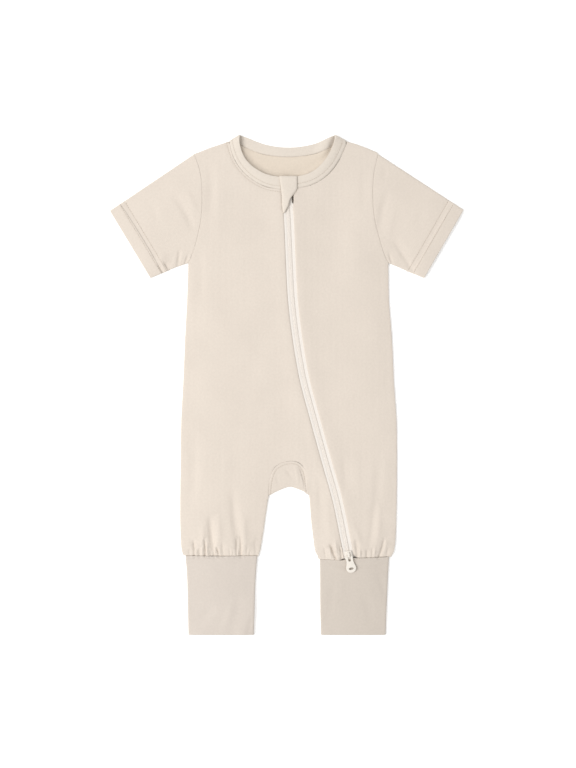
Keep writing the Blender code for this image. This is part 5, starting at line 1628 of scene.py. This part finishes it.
class ROMPER_OT_stage(RomperOperator, bpy.types.Operator):
    """Set the floor, the soft lights and the camera"""
    bl_idname = "romper.stage"
    bl_label = "Stage"

    def execute(self, context):
        """Build the stage."""
        scene, settings = context.scene, context.scene.romper_stage
        half, white = 3000, (1.0, 1.0, 1.0, 1.0)
        floor = new_piece("floor", [(x * half, y * half, -0.2) for x, y in
                                    ((-1, -1), (1, -1), (1, 1), (-1, 1))], [(0, 1, 2, 3)])
        # lit from below like a shadow-free photo table, so it is white with faint soft shadows
        opal = plain_material("matt_lit_opal_acrylic", settings.floor, 0.9, 1.45, 40.0)
        shader = opal.node_tree.nodes["Principled BSDF"]
        shader.inputs["Emission Color"].default_value = white
        shader.inputs["Emission Strength"].default_value = 0.2
        floor.data.materials.append(opal)

        world = bpy.data.worlds.new("soft_room")
        scene.world = world
        world.use_nodes = True
        sky = world.node_tree.nodes["Background"]
        sky.inputs["Color"].default_value = white
        sky.inputs["Strength"].default_value = settings.fill

        light = bpy.data.lights.new("key", "AREA")
        light.shape = "DISK"
        light.size = 1.8
        light.energy = settings.key_power
        key = add_object("key", light)
        key.location = (-2.0, -0.1, 2.4)
        key.rotation_euler = (-key.location).to_track_quat("-Z", "Y").to_euler()

        camera = add_object("camera", bpy.data.cameras.new("camera"))
        camera.data.lens = settings.lens
        camera.data.sensor_width = 36.0
        distance = settings.lens / camera.data.sensor_width * settings.frame_height
        camera.location = (settings.centre_x, settings.centre_y, distance + 0.003)
        camera.data.clip_start = 0.1
        camera.data.clip_end = 10.0
        scene.camera = camera
        scene.view_settings.view_transform = "Standard"
        return {"FINISHED"}


OPERATORS = (ROMPER_OT_panels, ROMPER_OT_gusset, ROMPER_OT_sleeves, ROMPER_OT_cuffs,
             ROMPER_OT_neckband, ROMPER_OT_garage, ROMPER_OT_tapes, ROMPER_OT_coil,
             ROMPER_OT_hardware, ROMPER_OT_stitching, ROMPER_OT_stage)
GROUPS = {"romper_cloth": RomperCloth, "romper_stitching": RomperStitching,
          "romper_zip": RomperZip, "romper_stage": RomperStage}


class ROMPER_PT_panel(bpy.types.Panel):
    """Lists the pieces of the romper and their sizes"""
    bl_idname = "ROMPER_PT_panel"
    bl_label = "Romper"
    bl_space_type = "VIEW_3D"
    bl_region_type = "UI"
    bl_category = "Romper"

    def draw(self, context):
        """Draw the settings and one button for each step."""
        for name, group in GROUPS.items():
            box = self.layout.box()
            for setting in group.__annotations__:
                box.prop(getattr(context.scene, name), setting)
        for operator in OPERATORS:
            self.layout.operator(operator.bl_idname)


def register():
    """Register the settings, the operators and the panel."""
    for name, group in GROUPS.items():
        bpy.utils.register_class(group)
        setattr(bpy.types.Scene, name, PointerProperty(type=group))
    for cls in (*OPERATORS, ROMPER_PT_panel):
        bpy.utils.register_class(cls)


def unregister():
    """Take the panel, the operators and the settings away again."""
    for cls in (ROMPER_PT_panel, *reversed(OPERATORS)):
        bpy.utils.unregister_class(cls)
    for name, group in GROUPS.items():
        delattr(bpy.types.Scene, name)
        bpy.utils.unregister_class(group)


def main():
    """Dress the romper."""
    register()
    for operator in OPERATORS:
        group, name = operator.bl_idname.split(".")
        getattr(getattr(bpy.ops, group), name)()


if __name__ == "__main__":
    main()
